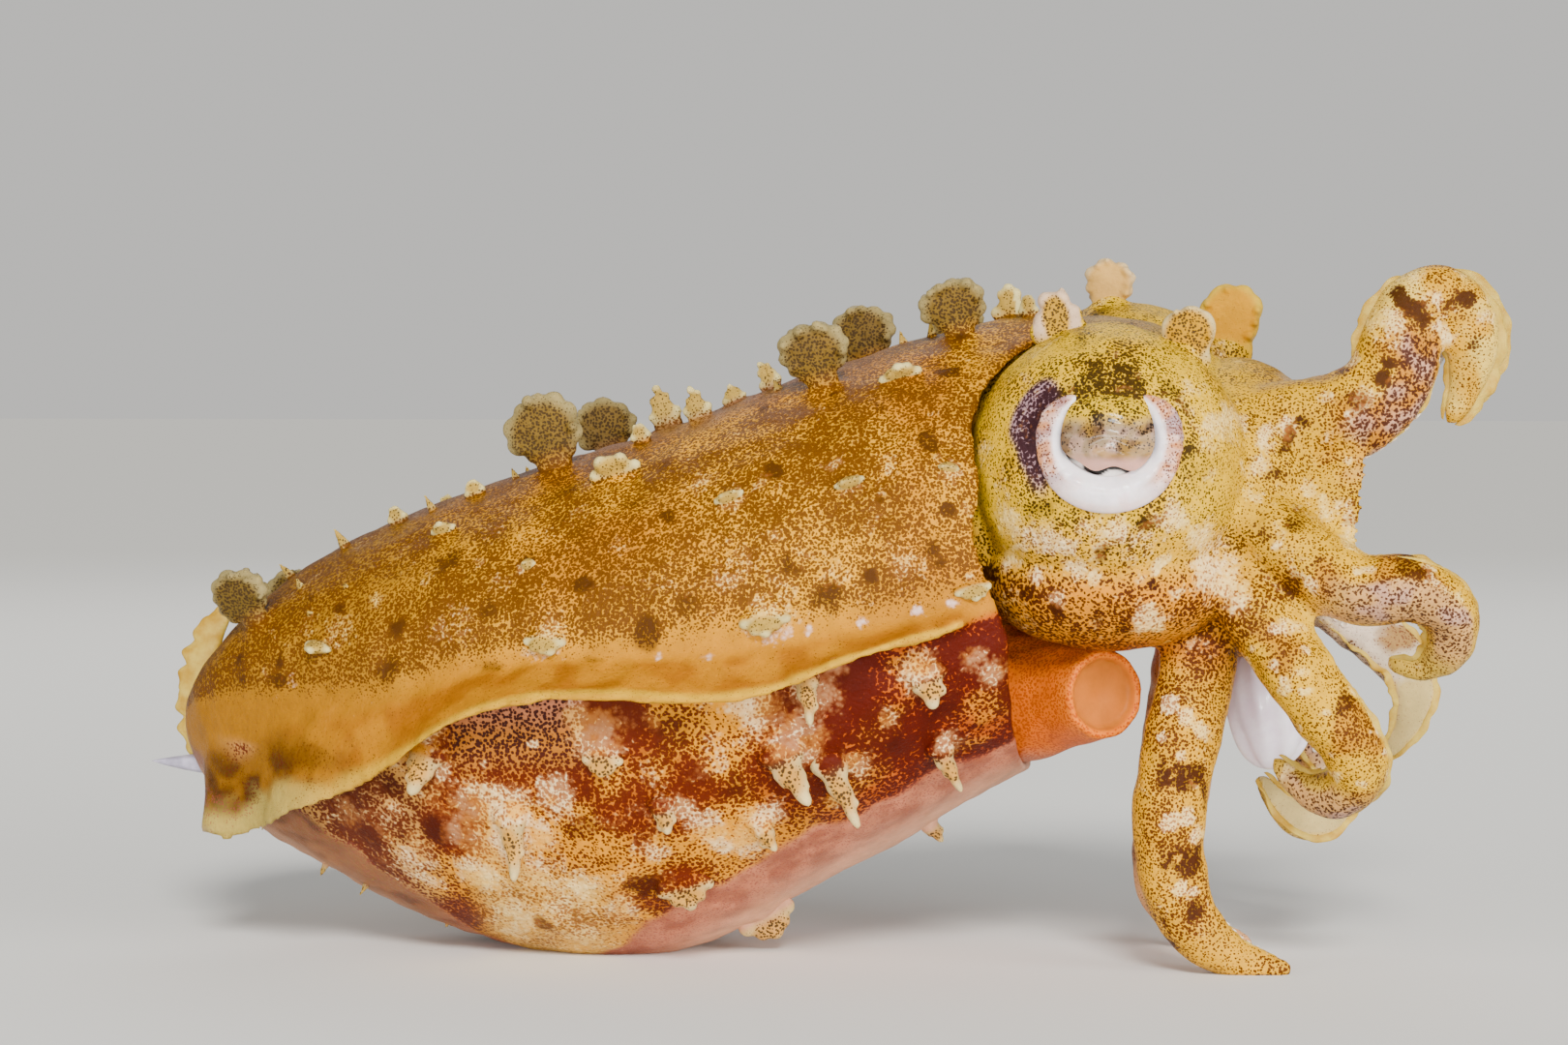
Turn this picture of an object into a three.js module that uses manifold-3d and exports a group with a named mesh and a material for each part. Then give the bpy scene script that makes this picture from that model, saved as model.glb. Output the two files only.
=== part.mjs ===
// Dwarf cuttlefish at life size, walking stance: it rests on its belly and on its two lowest arms.
// Millimetres, +Z up, +X forward towards the arms. The animal's right side faces -Y.
// The origin is on the flat under the belly, where the animal rests.

import * as THREE from "three";
import { mergeVertices } from "three/addons/utils/BufferGeometryUtils.js";
import Module from "manifold-3d";

const wasm = await Module();
wasm.setup();

// Driving dimensions
const seam = 0.3; // gap kept between neighbouring nodes
const rightSide = -1;
const leftSide = 1;
const farAway = 200;
const sliver = 0.02; // edges shorter than this are closed up after a cut

// Mantle. Each station: share along the body, half width, widest height, top and bottom heights.
const mantleTailX = -25;
const mantleNoseX = 35;
const mantleStations = [
  [0, 0, 13.5, 13.5, 13.5],
  [0.125, 5.4, 15.6, 18.6, 8.8],
  [0.25, 9.8, 16.8, 24.0, 4.8],
  [0.375, 13.6, 17.6, 28.2, 0.6],
  [0.5, 15.8, 18.6, 31.9, -0.5],
  [0.625, 16.0, 20.0, 36.0, 5.0],
  [0.75, 14.0, 22.0, 38.6, 10.6],
  [0.875, 10.0, 25.0, 37.8, 14.6],
  [1, 0, 27.0, 27.0, 27.0],
];
const mantleAround = 28;
const mantleAlong = 32;
const dorsalMarginX = 30.4;
const sideMargin = { x: 27.6, z: 20, slant: 0.35, topZ: 27 };
const cavityBackX = 22;
const cavity = { z: 22.6, rise: 0.28, halfWidth: 12.6, halfHeight: 11.8 };

// Head
const headCore = { at: [32, 0, 28.9], radii: [10.4, 11, 9.9] };
const neck = { frontX: 32, z: 27.6, halfWidth: 10.6, halfHeight: 7.4 };
const eyeDome = { at: [33, 8.2, 29.9], radii: [8.1, 7.6, 8.4] };
const cheek = { at: [33, 7.4, 23.4], radii: [7.6, 6.2, 4.4] };
const crown = { at: [40, 0, 27.2], radii: [6.9, 9.6, 9.0] };
const eyeball = { at: [33.5, 13.7, 30.3], radii: [4.6, 2.6, 3.8] };
const lidRadius = 0.55;
const leftEyeRise = 1.5; // the head is cocked, so the left eye stands higher

// Funnel, bent towards the animal's right
const funnelPath = [
  [22.4, 0, 16.4],
  [27, -1.6, 15.9],
  [30.4, -4.0, 16.3],
  [32.8, -7.2, 16.4],
];
const funnelRadii = [4.6, 4.3, 3.4, 2.6];
const funnelBore = 2.0;
const funnelBoreDepth = 3;

// Cuttlebone spine at the tail
const spine = { baseX: -23.2, tipX: -27.6, z: 10.9, radius: 0.75 };

// Mouth
const buccal = { at: [42.2, 1.6, 15.6], radii: [2.7, 3.2, 4.3], lobes: 7, lobeDepth: 0.14 };

// Arms: path, full width at the root, power of the taper (a high one keeps the arm wide for longer),
// how much fuller the sucker side is than in the table below, share where the arm leaves the head
const arms = {
  arm_1_right: {
    path: [
      [39.5, -4.2, 31.0],
      [43.4, -4.4, 32.4],
      [46.5, -4.6, 32.9],
      [48.9, -4.6, 34.6],
      [49.8, -4.4, 37.0],
      [50.7, -4.1, 39.0],
      [52.2, -3.8, 39.7],
      [53.5, -3.5, 38.7],
      [54.0, -3.3, 36.8],
      [53.6, -3.2, 34.4],
      [52.7, -3.2, 32.2],
    ],
    width: 5.2,
    taper: 2.8,
    oral: 1.3,
    root: 0.27,
  },
  arm_2_right: {
    path: [
      [40.4, -7.4, 27.7],
      [44.1, -8.8, 24.9],
      [47.5, -9.6, 22.8],
      [50.7, -9.8, 22.9],
      [52.8, -9.0, 21.7],
      [52.9, -7.6, 19.5],
      [51.4, -6.4, 18.2],
      [49.2, -5.6, 18.4],
    ],
    width: 4.4,
    taper: 2.3,
    oral: 1.15,
    root: 0.25,
  },
  arm_3_right: {
    path: [
      [40.0, -7.4, 24.1],
      [43.0, -9.4, 19.6],
      [45.3, -10.0, 16.3],
      [47.1, -9.7, 13.9],
      [47.6, -8.9, 12.0],
      [46.7, -7.9, 10.8],
      [45.1, -7.0, 10.7],
      [43.7, -6.3, 11.5],
      [42.6, -5.8, 12.8],
    ],
    width: 4.4,
    taper: 2.3,
    oral: 1.1,
    root: 0.22,
  },
  arm_4_right: {
    path: [
      [38.4, -4.8, 22.0],
      [38.0, -6.4, 17.4],
      [37.3, -7.2, 13.8],
      [36.6, -7.6, 10.1],
      [36.7, -7.6, 6.4],
      [37.7, -7.4, 3.2],
      [40.0, -7.0, 1.2],
      [42.2, -6.8, 0.5],
      [44.0, -6.8, 0.2],
    ],
    width: 4.5,
    taper: 3.4,
    oral: 1,
    root: 0.19,
  },
  arm_1_left: {
    path: [
      [39.5, 4.2, 31.0],
      [44.0, 4.4, 32.6],
      [46.9, 4.4, 33.4],
      [49.2, 4.2, 35.2],
      [50.4, 4.0, 37.2],
      [51.4, 3.7, 38.8],
      [52.9, 3.4, 39.4],
      [54.1, 3.1, 38.4],
      [54.5, 2.9, 36.5],
      [54.0, 2.8, 34.4],
      [53.0, 2.8, 32.4],
    ],
    width: 4.8,
    taper: 2.8,
    oral: 1.2,
    root: 0.27,
  },
  arm_2_left: {
    path: [
      [41.0, 7.4, 26.9],
      [45.5, 8.2, 21.6],
      [48.5, 8.0, 18.9],
      [50.3, 7.4, 17.0],
      [50.7, 6.8, 14.8],
      [49.9, 6.2, 12.9],
      [48.9, 6.0, 11.6],
    ],
    width: 4.2,
    taper: 2.3,
    oral: 1.15,
    root: 0.26,
  },
  arm_3_left: {
    path: [
      [40.0, 7.4, 23.0],
      [42.6, 8.8, 16.6],
      [44.7, 8.5, 12.4],
      [45.7, 7.8, 9.8],
      [45.3, 6.8, 8.1],
      [43.9, 6.0, 7.8],
      [42.5, 5.4, 8.9],
      [41.3, 5.0, 10.8],
    ],
    width: 4.2,
    taper: 2.3,
    oral: 1.1,
    root: 0.24,
  },
  arm_4_left: {
    path: [
      [37.6, 4.4, 21.6],
      [36.9, 5.2, 16.4],
      [36.3, 5.4, 11.6],
      [35.7, 5.2, 7.0],
      [35.7, 4.8, 3.6],
      [37.2, 4.4, 1.5],
      [39.3, 4.0, 0.6],
      [41.2, 3.8, 0.2],
    ],
    width: 4.6,
    taper: 3.4,
    oral: 1,
    root: 0.2,
  },
};
const crownAxis = [1, 0, -0.25]; // the way the mouth faces; every arm's suckers turn towards its line
const armPieces = [
  ["base", 0.38],
  ["middle", 0.72],
  ["tip", 1],
];
const armStepMm = 1.3;
const armTipRadius = 0.28;
// Share of a bend's own radius that the flesh inside the bend may fill
const bendShare = 0.62;
// Section of an arm: share of the radius at each angle from the sucker side
const armSection = [0.76, 0.86, 1.1, 1.0, 0.96, 0.98, 1.02, 0.98, 0.96, 1.0, 1.1, 0.86];

// Suckers, in two rows along the side of each arm that faces the mouth
const sucker = { size: 0.3, smallest: 0.24, height: 0.32, sink: 0.45, sides: 6 };
const suckerSpacingMm = 1.6;
const suckerRowAngle = 34;
const suckerShares = [0.3, 0.93];

// Skin papillae on the mantle: share along it, degrees from the top (the right side is negative),
// width, height, turn in the skin's plane and lean towards the belly in degrees
const dorsalPapillae = [
  [0.21, -52, 4.2, 3.9, 0, -24],
  [0.224, -14, 0.9, 1.3, 0, 0],
  [0.28, -18, 1.0, 1.5, 0, 0],
  [0.324, -16, 1.2, 1.1, 0, 0],
  [0.352, -18, 0.8, 1.3, 0, 0],
  [0.384, -18, 1.3, 1.0, 0, 0],
  [0.441, -20, 5.1, 4.9, 0, -12],
  [0.458, 17, 4.2, 3.8, 8, -12],
  [0.488, -34, 3.4, 1.7, 4, 8],
  [0.496, -16, 1.2, 1.2, 0, 0],
  [0.507, -4, 2.2, 2.9, 0, 0],
  [0.532, -12, 2.0, 2.0, 10, 0],
  [0.552, -6, 1.7, 1.2, -6, 0],
  [0.576, -5, 1.4, 1.9, 0, 0],
  [0.62, -24, 4.5, 4.2, 4, -10],
  [0.637, 16, 4.4, 4.1, -6, -10],
  [0.668, -4, 0.9, 1.0, 0, 0],
  [0.676, -30, 2.8, 1.2, 0, 20],
  [0.717, -16, 4.3, 3.6, 0, -8],
  [0.754, 4, 2.5, 2.2, 0, 0],
  [0.774, -3, 1.2, 1.5, 0, 0],
  [0.2, 52, 3.6, 3.4, 0, -30],
  [0.34, 24, 1.4, 1.6, 0, 0],
  [0.545, 20, 2.2, 2.0, 0, 0],
  [0.705, 24, 3.6, 3.2, 0, -8],
];
const flankPapillae = [
  [0.372, -38, 1.8, 0.9, 0, 20],
  [0.284, -76, 2.2, 1.1, 18, 30],
  [0.456, -82, 2.8, 1.4, 8, 60],
  [0.568, -54, 2.0, 0.8, -6, 10],
  [0.648, -58, 2.0, 0.8, -6, 10],
  [0.596, -84, 3.2, 1.4, 0, 55],
  [0.37, 42, 2.0, 1.1, 0, 15],
  [0.33, 74, 2.2, 1.2, 10, 35],
  [0.47, 80, 2.8, 1.5, 0, 55],
  [0.56, 50, 2.2, 1.0, 0, 10],
  [0.62, 82, 3.0, 1.4, 0, 50],
];
const bellyPapillae = [
  [0.372, -106, 2.2, 2.4, 12, 62],
  [0.492, -106, 2.6, 1.7, 8, 60],
  [0.427, -118, 1.6, 3.4, -14, 76],
  [0.528, -119, 1.5, 1.3, 0, 60],
  [0.604, -114, 2.1, 3.0, -10, 66],
  [0.622, -98, 1.3, 2.7, 0, 66],
  [0.634, -120, 1.6, 3.6, -8, 68],
  [0.706, -106, 2.1, 1.7, 0, 58],
  [0.712, -130, 1.3, 2.4, 0, 62],
  [0.534, -138, 3.6, 1.8, 6, 66],
  [0.588, -131, 1.4, 1.4, 0, 60],
  [0.688, -176, 1.3, 1.2, 0, 30],
  [0.571, -174, 3.9, 2.0, 0, 20],
  [0.26, -162, 0.7, 1.1, 0, 0],
  [0.3, -158, 0.7, 1.0, 0, 0],
  [0.38, 108, 2.2, 2.3, 8, 62],
  [0.48, 112, 2.2, 2.6, 0, 66],
  [0.56, 106, 2.0, 2.6, 0, 64],
  [0.64, 118, 1.8, 3.2, 0, 66],
  [0.53, 138, 3.4, 1.8, 0, 66],
];
// Papillae round the eyes: place, direction, width, height
const headPapillae = [
  [[30.3, -8.6, 37.0], [-0.16, -0.05, 1], 2.2, 3.2],
  [[37.3, -8.8, 36.0], [0.3, -0.05, 1], 3.3, 3.6],
  [[32.0, 7.6, 39.0], [-0.04, 0, 1], 3.3, 3.6],
  [[39.1, 7.8, 36.2], [0.14, 0, 1], 4.0, 4.9],
];
const papillaSink = 1.1;
const papillaThinnest = 0.6;
const papillaThickest = 1.2;

// Fins. Each station: mantle share, width, droop in degrees below level
const finRight = [
  [0.765, 0.7, 15],
  [0.65, 2.7, 28],
  [0.55, 3.8, 36],
  [0.46, 3.6, 18],
  [0.36, 4.8, 58],
  [0.28, 7.0, 74],
  [0.2, 7.9, 82],
  [0.12, 7.4, 88],
  [0.05, 5.0, 94],
];
const finLeft = [
  [0.765, 0.7, 15],
  [0.65, 2.7, 24],
  [0.55, 3.6, 30],
  [0.46, 3.8, 8],
  [0.36, 4.4, 16],
  [0.28, 4.8, 6],
  [0.2, 5.0, -14],
  [0.11, 3.2, -36],
  [0.03, 1.0, -14],
];
const finRootThickness = 1.3;
const finEdgeThickness = 0.6;
const finSink = 1.2;
const finAround = 8;
const finAlong = 28;

// Solid from a closed geometry: shared vertices merged, faces pointing out
function solid(geometry) {
  const bare = new THREE.BufferGeometry();
  bare.setAttribute("position", geometry.getAttribute("position"));
  bare.setIndex(geometry.getIndex());
  const merged = mergeVertices(bare, 1e-4);
  const corners = Array.from(merged.getIndex().array);
  const faces = [];
  for (let i = 0; i < corners.length; i += 3) {
    const [a, b, c] = corners.slice(i, i + 3);
    if (a !== b && b !== c && c !== a) faces.push([a, b, c]);
  }
  const make = (flip) =>
    new wasm.Manifold(
      new wasm.Mesh({
        numProp: 3,
        vertProperties: merged.getAttribute("position").array,
        triVerts: new Uint32Array(faces.flatMap((f) => (flip ? [f[0], f[2], f[1]] : f))),
      }),
    );
  const made = make(false);
  return made.volume() < 0 ? make(true) : made;
}

function join(solids) {
  return solids.reduce((all, next) => all.add(next));
}

// Largest body of a cut solid, without the slivers that the cuts leave
function largest(whole) {
  const clean = whole.asOriginal().simplify(sliver);
  return clean.decompose().sort((a, b) => b.volume() - a.volume())[0];
}

function toGeometry(made) {
  const mesh = made.getMesh();
  const geometry = new THREE.BufferGeometry();
  const points = new Float32Array(mesh.numVert * 3);
  for (let i = 0; i < mesh.numVert; i++) {
    const start = i * mesh.numProp;
    points.set(mesh.vertProperties.subarray(start, start + 3), i * 3);
  }
  geometry.setAttribute("position", new THREE.BufferAttribute(points, 3));
  geometry.setIndex(new THREE.BufferAttribute(mesh.triVerts, 1));
  return geometry;
}

// Moves every vertex of a geometry by a rule
function reshape(geometry, rule) {
  const position = geometry.getAttribute("position");
  const point = new THREE.Vector3();
  for (let i = 0; i < position.count; i++) {
    point.fromBufferAttribute(position, i);
    rule(point);
    position.setXYZ(i, point.x, point.y, point.z);
  }
  return geometry;
}

function box(low, high) {
  const size = high.map((h, i) => h - low[i]);
  const middle = high.map((h, i) => (h + low[i]) / 2);
  return solid(new THREE.BoxGeometry(...size).translate(...middle));
}

function ellipsoid({ at, radii }, side, extra, around = 24, along = 16) {
  const ball = new THREE.SphereGeometry(1, around, along);
  ball.scale(...radii.map((r) => r + extra));
  return solid(ball.translate(at[0], at[1] * side, at[2]));
}

// The same on one side of the head, raised with its eye
function besideHead(shape, side, extra, around, along) {
  return ellipsoid(shape, side, extra, around, along).translate([0, 0, eyeRise(side)]);
}

function eyeRise(side) {
  return side === leftSide ? leftEyeRise : 0;
}

// Smooth value between the stations of a table, whose first column is the share along the body
function along(table, share, column) {
  const rising = table[0][0] < table[table.length - 1][0];
  const rows = rising ? table : [...table].reverse();
  const last = rows.length - 1;
  let i = 0;
  while (i < last - 1 && share > rows[i + 1][0]) i++;
  const at = (k) => rows[Math.min(Math.max(k, 0), last)];
  const [p0, p1, p2, p3] = [at(i - 1), at(i), at(i + 1), at(i + 2)];
  const span = p2[0] - p1[0];
  const u = Math.min(Math.max((share - p1[0]) / span, 0), 1);
  const slope = (a, b) => (b[0] === a[0] ? 0 : (b[column] - a[column]) / (b[0] - a[0]));
  const m1 = slope(p0, p2) * span;
  const m2 = slope(p1, p3) * span;
  const [a, b] = [p1[column], p2[column]];
  const cubic = 2 * a - 2 * b + m1 + m2;
  const square = 3 * b - 3 * a - 2 * m1 - m2;
  return ((cubic * u + square) * u + m1) * u + a;
}

function mantleX(share) {
  return mantleTailX + ((mantleNoseX - mantleTailX) * (1 - Math.cos(Math.PI * share))) / 2;
}

// Point on the mantle. The angle runs from the top, positive towards the animal's left.
function mantlePoint(share, angle, extra = 0) {
  const [width, widest, top, bottom] = [1, 2, 3, 4].map((c) => along(mantleStations, share, c));
  const up = Math.cos(angle);
  const height = up > 0 ? top - widest : widest - bottom;
  const poleward = extra * Math.cos(Math.PI * share);
  const around = extra * Math.sin(Math.PI * share);
  return new THREE.Vector3(
    mantleX(share) - poleward,
    (width + around) * Math.sin(angle),
    widest + (height + around) * up,
  );
}

function mantleFrame(share, angle) {
  const step = 0.01;
  const point = mantlePoint(share, angle);
  const forward = mantlePoint(share + step, angle).sub(mantlePoint(share - step, angle)).normalize();
  const sideways = mantlePoint(share, angle + step).sub(mantlePoint(share, angle - step));
  const normal = forward.clone().cross(sideways).normalize();
  const down = normal.clone().cross(forward).multiplyScalar(angle < 0 ? -1 : 1);
  return { point, forward, normal, down };
}

// Unit sphere with its poles on the body's length, laid on the mantle's surface
function mantleForm(extra) {
  const ball = new THREE.SphereGeometry(1, mantleAround, mantleAlong);
  reshape(ball, (p) => {
    const share = Math.acos(THREE.MathUtils.clamp(p.y, -1, 1)) / Math.PI;
    p.copy(mantlePoint(share, Math.atan2(p.x, p.z), extra));
  });
  return solid(ball);
}

// Curve through an arm's or the funnel's points, with a frame carried along it
function carriedFrames(points, firstNormal, steps) {
  const curve = new THREE.CatmullRomCurve3(points.map((p) => new THREE.Vector3(...p)));
  curve.arcLengthDivisions = 400;
  const frames = [];
  const normal = firstNormal.clone();
  for (let i = 0; i <= steps; i++) {
    const share = i / steps;
    const tangent = curve.getTangentAt(share);
    normal.addScaledVector(tangent, -normal.dot(tangent)).normalize();
    const lateral = new THREE.Vector3().crossVectors(tangent, normal);
    frames.push({ share, point: curve.getPointAt(share), tangent, normal: normal.clone(), lateral });
  }
  const length = curve.getLength();
  frames.forEach((frame, i) => {
    const before = frames[Math.max(0, i - 2)];
    const after = frames[Math.min(steps, i + 2)];
    const run = (after.share - before.share) * length;
    frame.bend = after.tangent.clone().sub(before.tangent).divideScalar(run);
  });
  return { frames, length };
}

function frameAt(frames, share) {
  const place = THREE.MathUtils.clamp(share, 0, 1) * (frames.length - 1);
  const i = Math.min(Math.floor(place), frames.length - 2);
  const mix = (key) => frames[i][key].clone().lerp(frames[i + 1][key], place - i);
  return {
    point: mix("point"),
    tangent: mix("tangent").normalize(),
    normal: mix("normal").normalize(),
    lateral: mix("lateral").normalize(),
    bend: mix("bend"),
  };
}

// Furthest that the inside of a bend can reach before its rings would cross
function bendReach(frame, out) {
  return bendShare / Math.max(frame.bend.dot(out), 0.001);
}

// Tube with flat ends along part of a carried frame, each end set back from its place by a margin
function tube(frames, from, to, reachAt, around, rings, margins = [0, 0]) {
  const rod = new THREE.CylinderGeometry(1, 1, 1, around, rings);
  reshape(rod, (p) => {
    const share = from + (to - from) * (p.y + 0.5);
    const frame = frameAt(frames, share);
    if (p.y < -0.499) frame.point.addScaledVector(frame.tangent, margins[0]);
    if (p.y > 0.499) frame.point.addScaledVector(frame.tangent, -margins[1]);
    const turn = Math.round((Math.atan2(p.x, p.z) / (2 * Math.PI)) * around + around) % around;
    const angle = Math.atan2(p.x, p.z);
    const out = frame.normal.multiplyScalar(Math.cos(angle));
    out.addScaledVector(frame.lateral, Math.sin(angle));
    const reach = Math.hypot(p.x, p.z) * Math.min(reachAt(share, turn), bendReach(frame, out));
    p.copy(frame.point).addScaledVector(out, reach);
  });
  return solid(rod);
}

function armRadius(arm, share) {
  const taper = Math.pow(1 - Math.pow(share, arm.taper), 0.62);
  return armTipRadius + (arm.width / 2 - armTipRadius) * taper;
}

function armFrames(arm) {
  const axis = new THREE.Vector3(...crownAxis).normalize();
  const first = new THREE.Vector3(...arm.path[1]);
  const centre = new THREE.Vector3(...crown.at);
  const onAxis = first.clone().sub(centre).dot(axis);
  const inward = centre.addScaledVector(axis, onAxis).sub(first).normalize();
  return carriedFrames(arm.path, inward, 80);
}

function armTube(arm, from, to, extra = 0) {
  const { frames, length } = armFrames(arm);
  const rings = Math.max(2, Math.round(((to - from) * length) / armStepMm));
  const margins = [from > 0 ? seam / 2 : 0, to < 1 ? seam / 2 - extra : 0];
  const reach = (share, turn) => armReach(arm, share, turn) + extra;
  return tube(frames, from, to, reach, armSection.length, rings, margins);
}

// Distance of the skin from the arm's axis; the sucker side is fullest at the root
function armReach(arm, share, turn) {
  const oral = Math.max(0, Math.cos((2 * Math.PI * turn) / armSection.length));
  const fuller = 1 + (arm.oral - 1) * oral * Math.max(0, 1 - 1.3 * share);
  return armRadius(arm, share) * armSection[turn] * fuller;
}

// Suckers of one length of an arm
function suckers(arm, from, to) {
  const { frames, length } = armFrames(arm);
  const step = suckerSpacingMm / length;
  const made = [];
  let row = 1;
  for (let share = suckerShares[0]; share < suckerShares[1]; share += step) {
    row = -row;
    const size = Math.max(sucker.smallest, sucker.size * armRadius(arm, share));
    const margin = (size + seam) / length;
    if (share < from + margin || share > to - margin) continue;
    const frame = frameAt(frames, share);
    const { point, normal, lateral, tangent } = frame;
    const angle = THREE.MathUtils.degToRad(suckerRowAngle * row);
    const out = normal.clone().multiplyScalar(Math.cos(angle)).addScaledVector(lateral, Math.sin(angle));
    const reach = armReach(arm, share, 1) * 0.97;
    if (reach + sucker.height > bendReach(frame, out)) continue;
    const rise = sucker.height;
    const profile = [
      [0, -sucker.sink],
      [size, rise],
      [size * 0.6, rise],
      [0, rise * 0.4],
    ];
    const cup = new THREE.LatheGeometry(profile.map((p) => new THREE.Vector2(...p)), sucker.sides);
    const across = new THREE.Vector3().crossVectors(tangent, out).normalize();
    const along = new THREE.Vector3().crossVectors(out, across);
    cup.applyMatrix4(new THREE.Matrix4().makeBasis(across, out, along));
    made.push(solid(cup.translate(...point.addScaledVector(out, reach))));
  }
  return made;
}

// Leafy papilla: a lobed fan standing on the skin, its width along one direction of the frame
function papilla({ point, across, up }, width, height) {
  const fine = width > 2.6;
  const steps = fine ? 13 : width > 1.5 ? 8 : 4;
  const spread = THREE.MathUtils.degToRad(fine ? 118 : 92);
  const lobes = fine ? 7 : 5;
  const centre = fine ? 0.5 : 0.4;
  const outline = [new THREE.Vector2(width * 0.3, -papillaSink)];
  for (let i = 0; i <= steps; i++) {
    const turn = spread * (1 - (2 * i) / steps);
    const reach = 1 + (fine ? 0.09 : 0.12) * (Math.cos(lobes * turn) - 1);
    outline.push(
      new THREE.Vector2(
        (width / 2) * Math.sin(turn) * reach,
        height * (centre + (1 - centre) * Math.cos(turn) * reach),
      ),
    );
  }
  outline.push(new THREE.Vector2(-width * 0.3, -papillaSink));
  const depth = THREE.MathUtils.clamp(width * 0.26, papillaThinnest, papillaThickest);
  const shape = new THREE.Shape(outline);
  const fan = new THREE.ExtrudeGeometry(shape, { depth, bevelEnabled: false, curveSegments: 1 });
  const through = new THREE.Vector3().crossVectors(across, up).normalize();
  fan.translate(0, 0, -depth / 2);
  fan.applyMatrix4(new THREE.Matrix4().makeBasis(across, up, through));
  return solid(fan.translate(...point));
}

function skinPapilla([share, degrees, width, height, turn, lean]) {
  const { point, forward, normal, down } = mantleFrame(share, THREE.MathUtils.degToRad(degrees));
  const [turned, leant] = [turn, lean].map(THREE.MathUtils.degToRad);
  const across = forward.clone().multiplyScalar(Math.cos(turned)).addScaledVector(down, Math.sin(turned));
  const side = down.clone().multiplyScalar(Math.cos(turned)).addScaledVector(forward, -Math.sin(turned));
  const up = normal.clone().multiplyScalar(Math.cos(leant)).addScaledVector(side, Math.sin(leant));
  return papilla({ point, across, up }, width, height);
}

function eyePapilla([place, direction, width, height]) {
  const up = new THREE.Vector3(...direction).normalize();
  const across = new THREE.Vector3(0, 1, 0).cross(up).normalize();
  return papilla({ point: new THREE.Vector3(...place), across, up }, width, height);
}

// Head without its eye sockets, grown outwards by extra
function headForm(extra) {
  const neckLength = neck.frontX - cavityBackX - seam + extra;
  const collar = new THREE.CylinderGeometry(1, 1, neckLength, 22);
  collar.rotateZ(Math.PI / 2).scale(1, neck.halfWidth + extra, neck.halfHeight + extra);
  collar.translate(neck.frontX - neckLength / 2, 0, neck.z);
  const parts = [
    solid(collar),
    ellipsoid(headCore, 1, extra, 20, 12),
    ellipsoid(crown, 1, extra, 20, 12),
  ];
  for (const side of [rightSide, leftSide]) {
    parts.push(besideHead(eyeDome, side, extra, 24, 14));
    parts.push(besideHead(cheek, side, extra, 16, 10));
  }
  return join(parts);
}

function armRoots(extra, without) {
  const kept = Object.values(arms).filter((arm) => arm !== without);
  return join(kept.map((arm) => armTube(arm, 0, arm.root, extra)));
}

// Ridge round the eye: the thick lower lid and the brow that droops over the middle
function lidForm(side) {
  const [cx, cy, cz] = eyeball.at;
  const point = (degrees, droop) => {
    const a = THREE.MathUtils.degToRad(degrees);
    const x = cx + 4.5 * Math.cos(a);
    const z = cz + 3.7 * Math.sin(a) - droop;
    const offX = (x - eyeDome.at[0]) / eyeDome.radii[0];
    const offZ = (z - eyeDome.at[2]) / eyeDome.radii[2];
    const y = eyeDome.at[1] + eyeDome.radii[1] * Math.sqrt(1 - offX * offX - offZ * offZ);
    return [x, side * y, z + eyeRise(side)];
  };
  const lower = [];
  for (let degrees = 160; degrees <= 380; degrees += 20) lower.push(point(degrees, 0));
  const brow = [point(140, 0), point(115, 0.5), point(90, 1.5), point(65, 0.5), point(40, 0)];
  return [lower, brow].map((path) => {
    const { frames } = carriedFrames(path, new THREE.Vector3(0, side, 0), 40);
    const radius = (s) => 0.2 + (lidRadius - 0.2) * Math.sin(Math.PI * Math.min(Math.max(s, 0.02), 0.98));
    return tube(frames, 0, 1, radius, 6, 12);
  });
}

function eyeForm(side, extra) {
  return besideHead(eyeball, side, extra, 20, 10);
}

function head() {
  let made = join([headForm(0), armRoots(0), ...headPapillae.map(eyePapilla)]);
  for (const side of [rightSide, leftSide]) {
    made = join([made, ...lidForm(side)]).subtract(eyeForm(side, seam));
  }
  return largest(made);
}

function belowFloor() {
  return box([-farAway, -farAway, -farAway], [farAway, farAway, 0]);
}

// Cuts the mantle's open edge: upright on the sides and below, leaning back behind the eyes
function frontCutter() {
  const reach = farAway;
  const block = new THREE.BoxGeometry(reach, reach, reach);
  block.translate(sideMargin.x + reach / 2, 0, sideMargin.topZ - reach / 2);
  const upright = solid(block);
  reshape(block, (p) => {
    p.x -= (p.z - sideMargin.z) * sideMargin.slant;
  });
  return join([upright, solid(block)]);
}

function mantle() {
  const cavityLength = farAway;
  const hollow = new THREE.CylinderGeometry(1, 1, cavityLength, 24);
  hollow.rotateZ(Math.PI / 2).scale(1, cavity.halfWidth, cavity.halfHeight);
  hollow.translate(cavityBackX + cavityLength / 2, 0, cavity.z);
  reshape(hollow, (p) => {
    p.z += (p.x - cavityBackX) * cavity.rise;
  });
  const cutters = [
    solid(hollow),
    box([dorsalMarginX, -farAway, -farAway], [farAway, farAway, farAway]),
    frontCutter(),
    belowFloor(),
    headForm(seam),
    funnelForm(seam),
  ];
  const papillae = [...dorsalPapillae, ...flankPapillae, ...bellyPapillae].map(skinPapilla);
  const skin = join([mantleForm(0), ...papillae]);
  return largest(cutters.reduce((body, cutter) => body.subtract(cutter), skin));
}

function funnelFrames() {
  return carriedFrames(funnelPath, new THREE.Vector3(0, 0, 1), 40).frames;
}

function funnelForm(extra) {
  const radius = (share) => {
    const place = share * (funnelRadii.length - 1);
    const i = Math.min(Math.floor(place), funnelRadii.length - 2);
    return THREE.MathUtils.lerp(funnelRadii[i], funnelRadii[i + 1], place - i) + extra;
  };
  return tube(funnelFrames(), 0, 1, radius, 16, 9, [-extra, -extra]);
}

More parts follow.
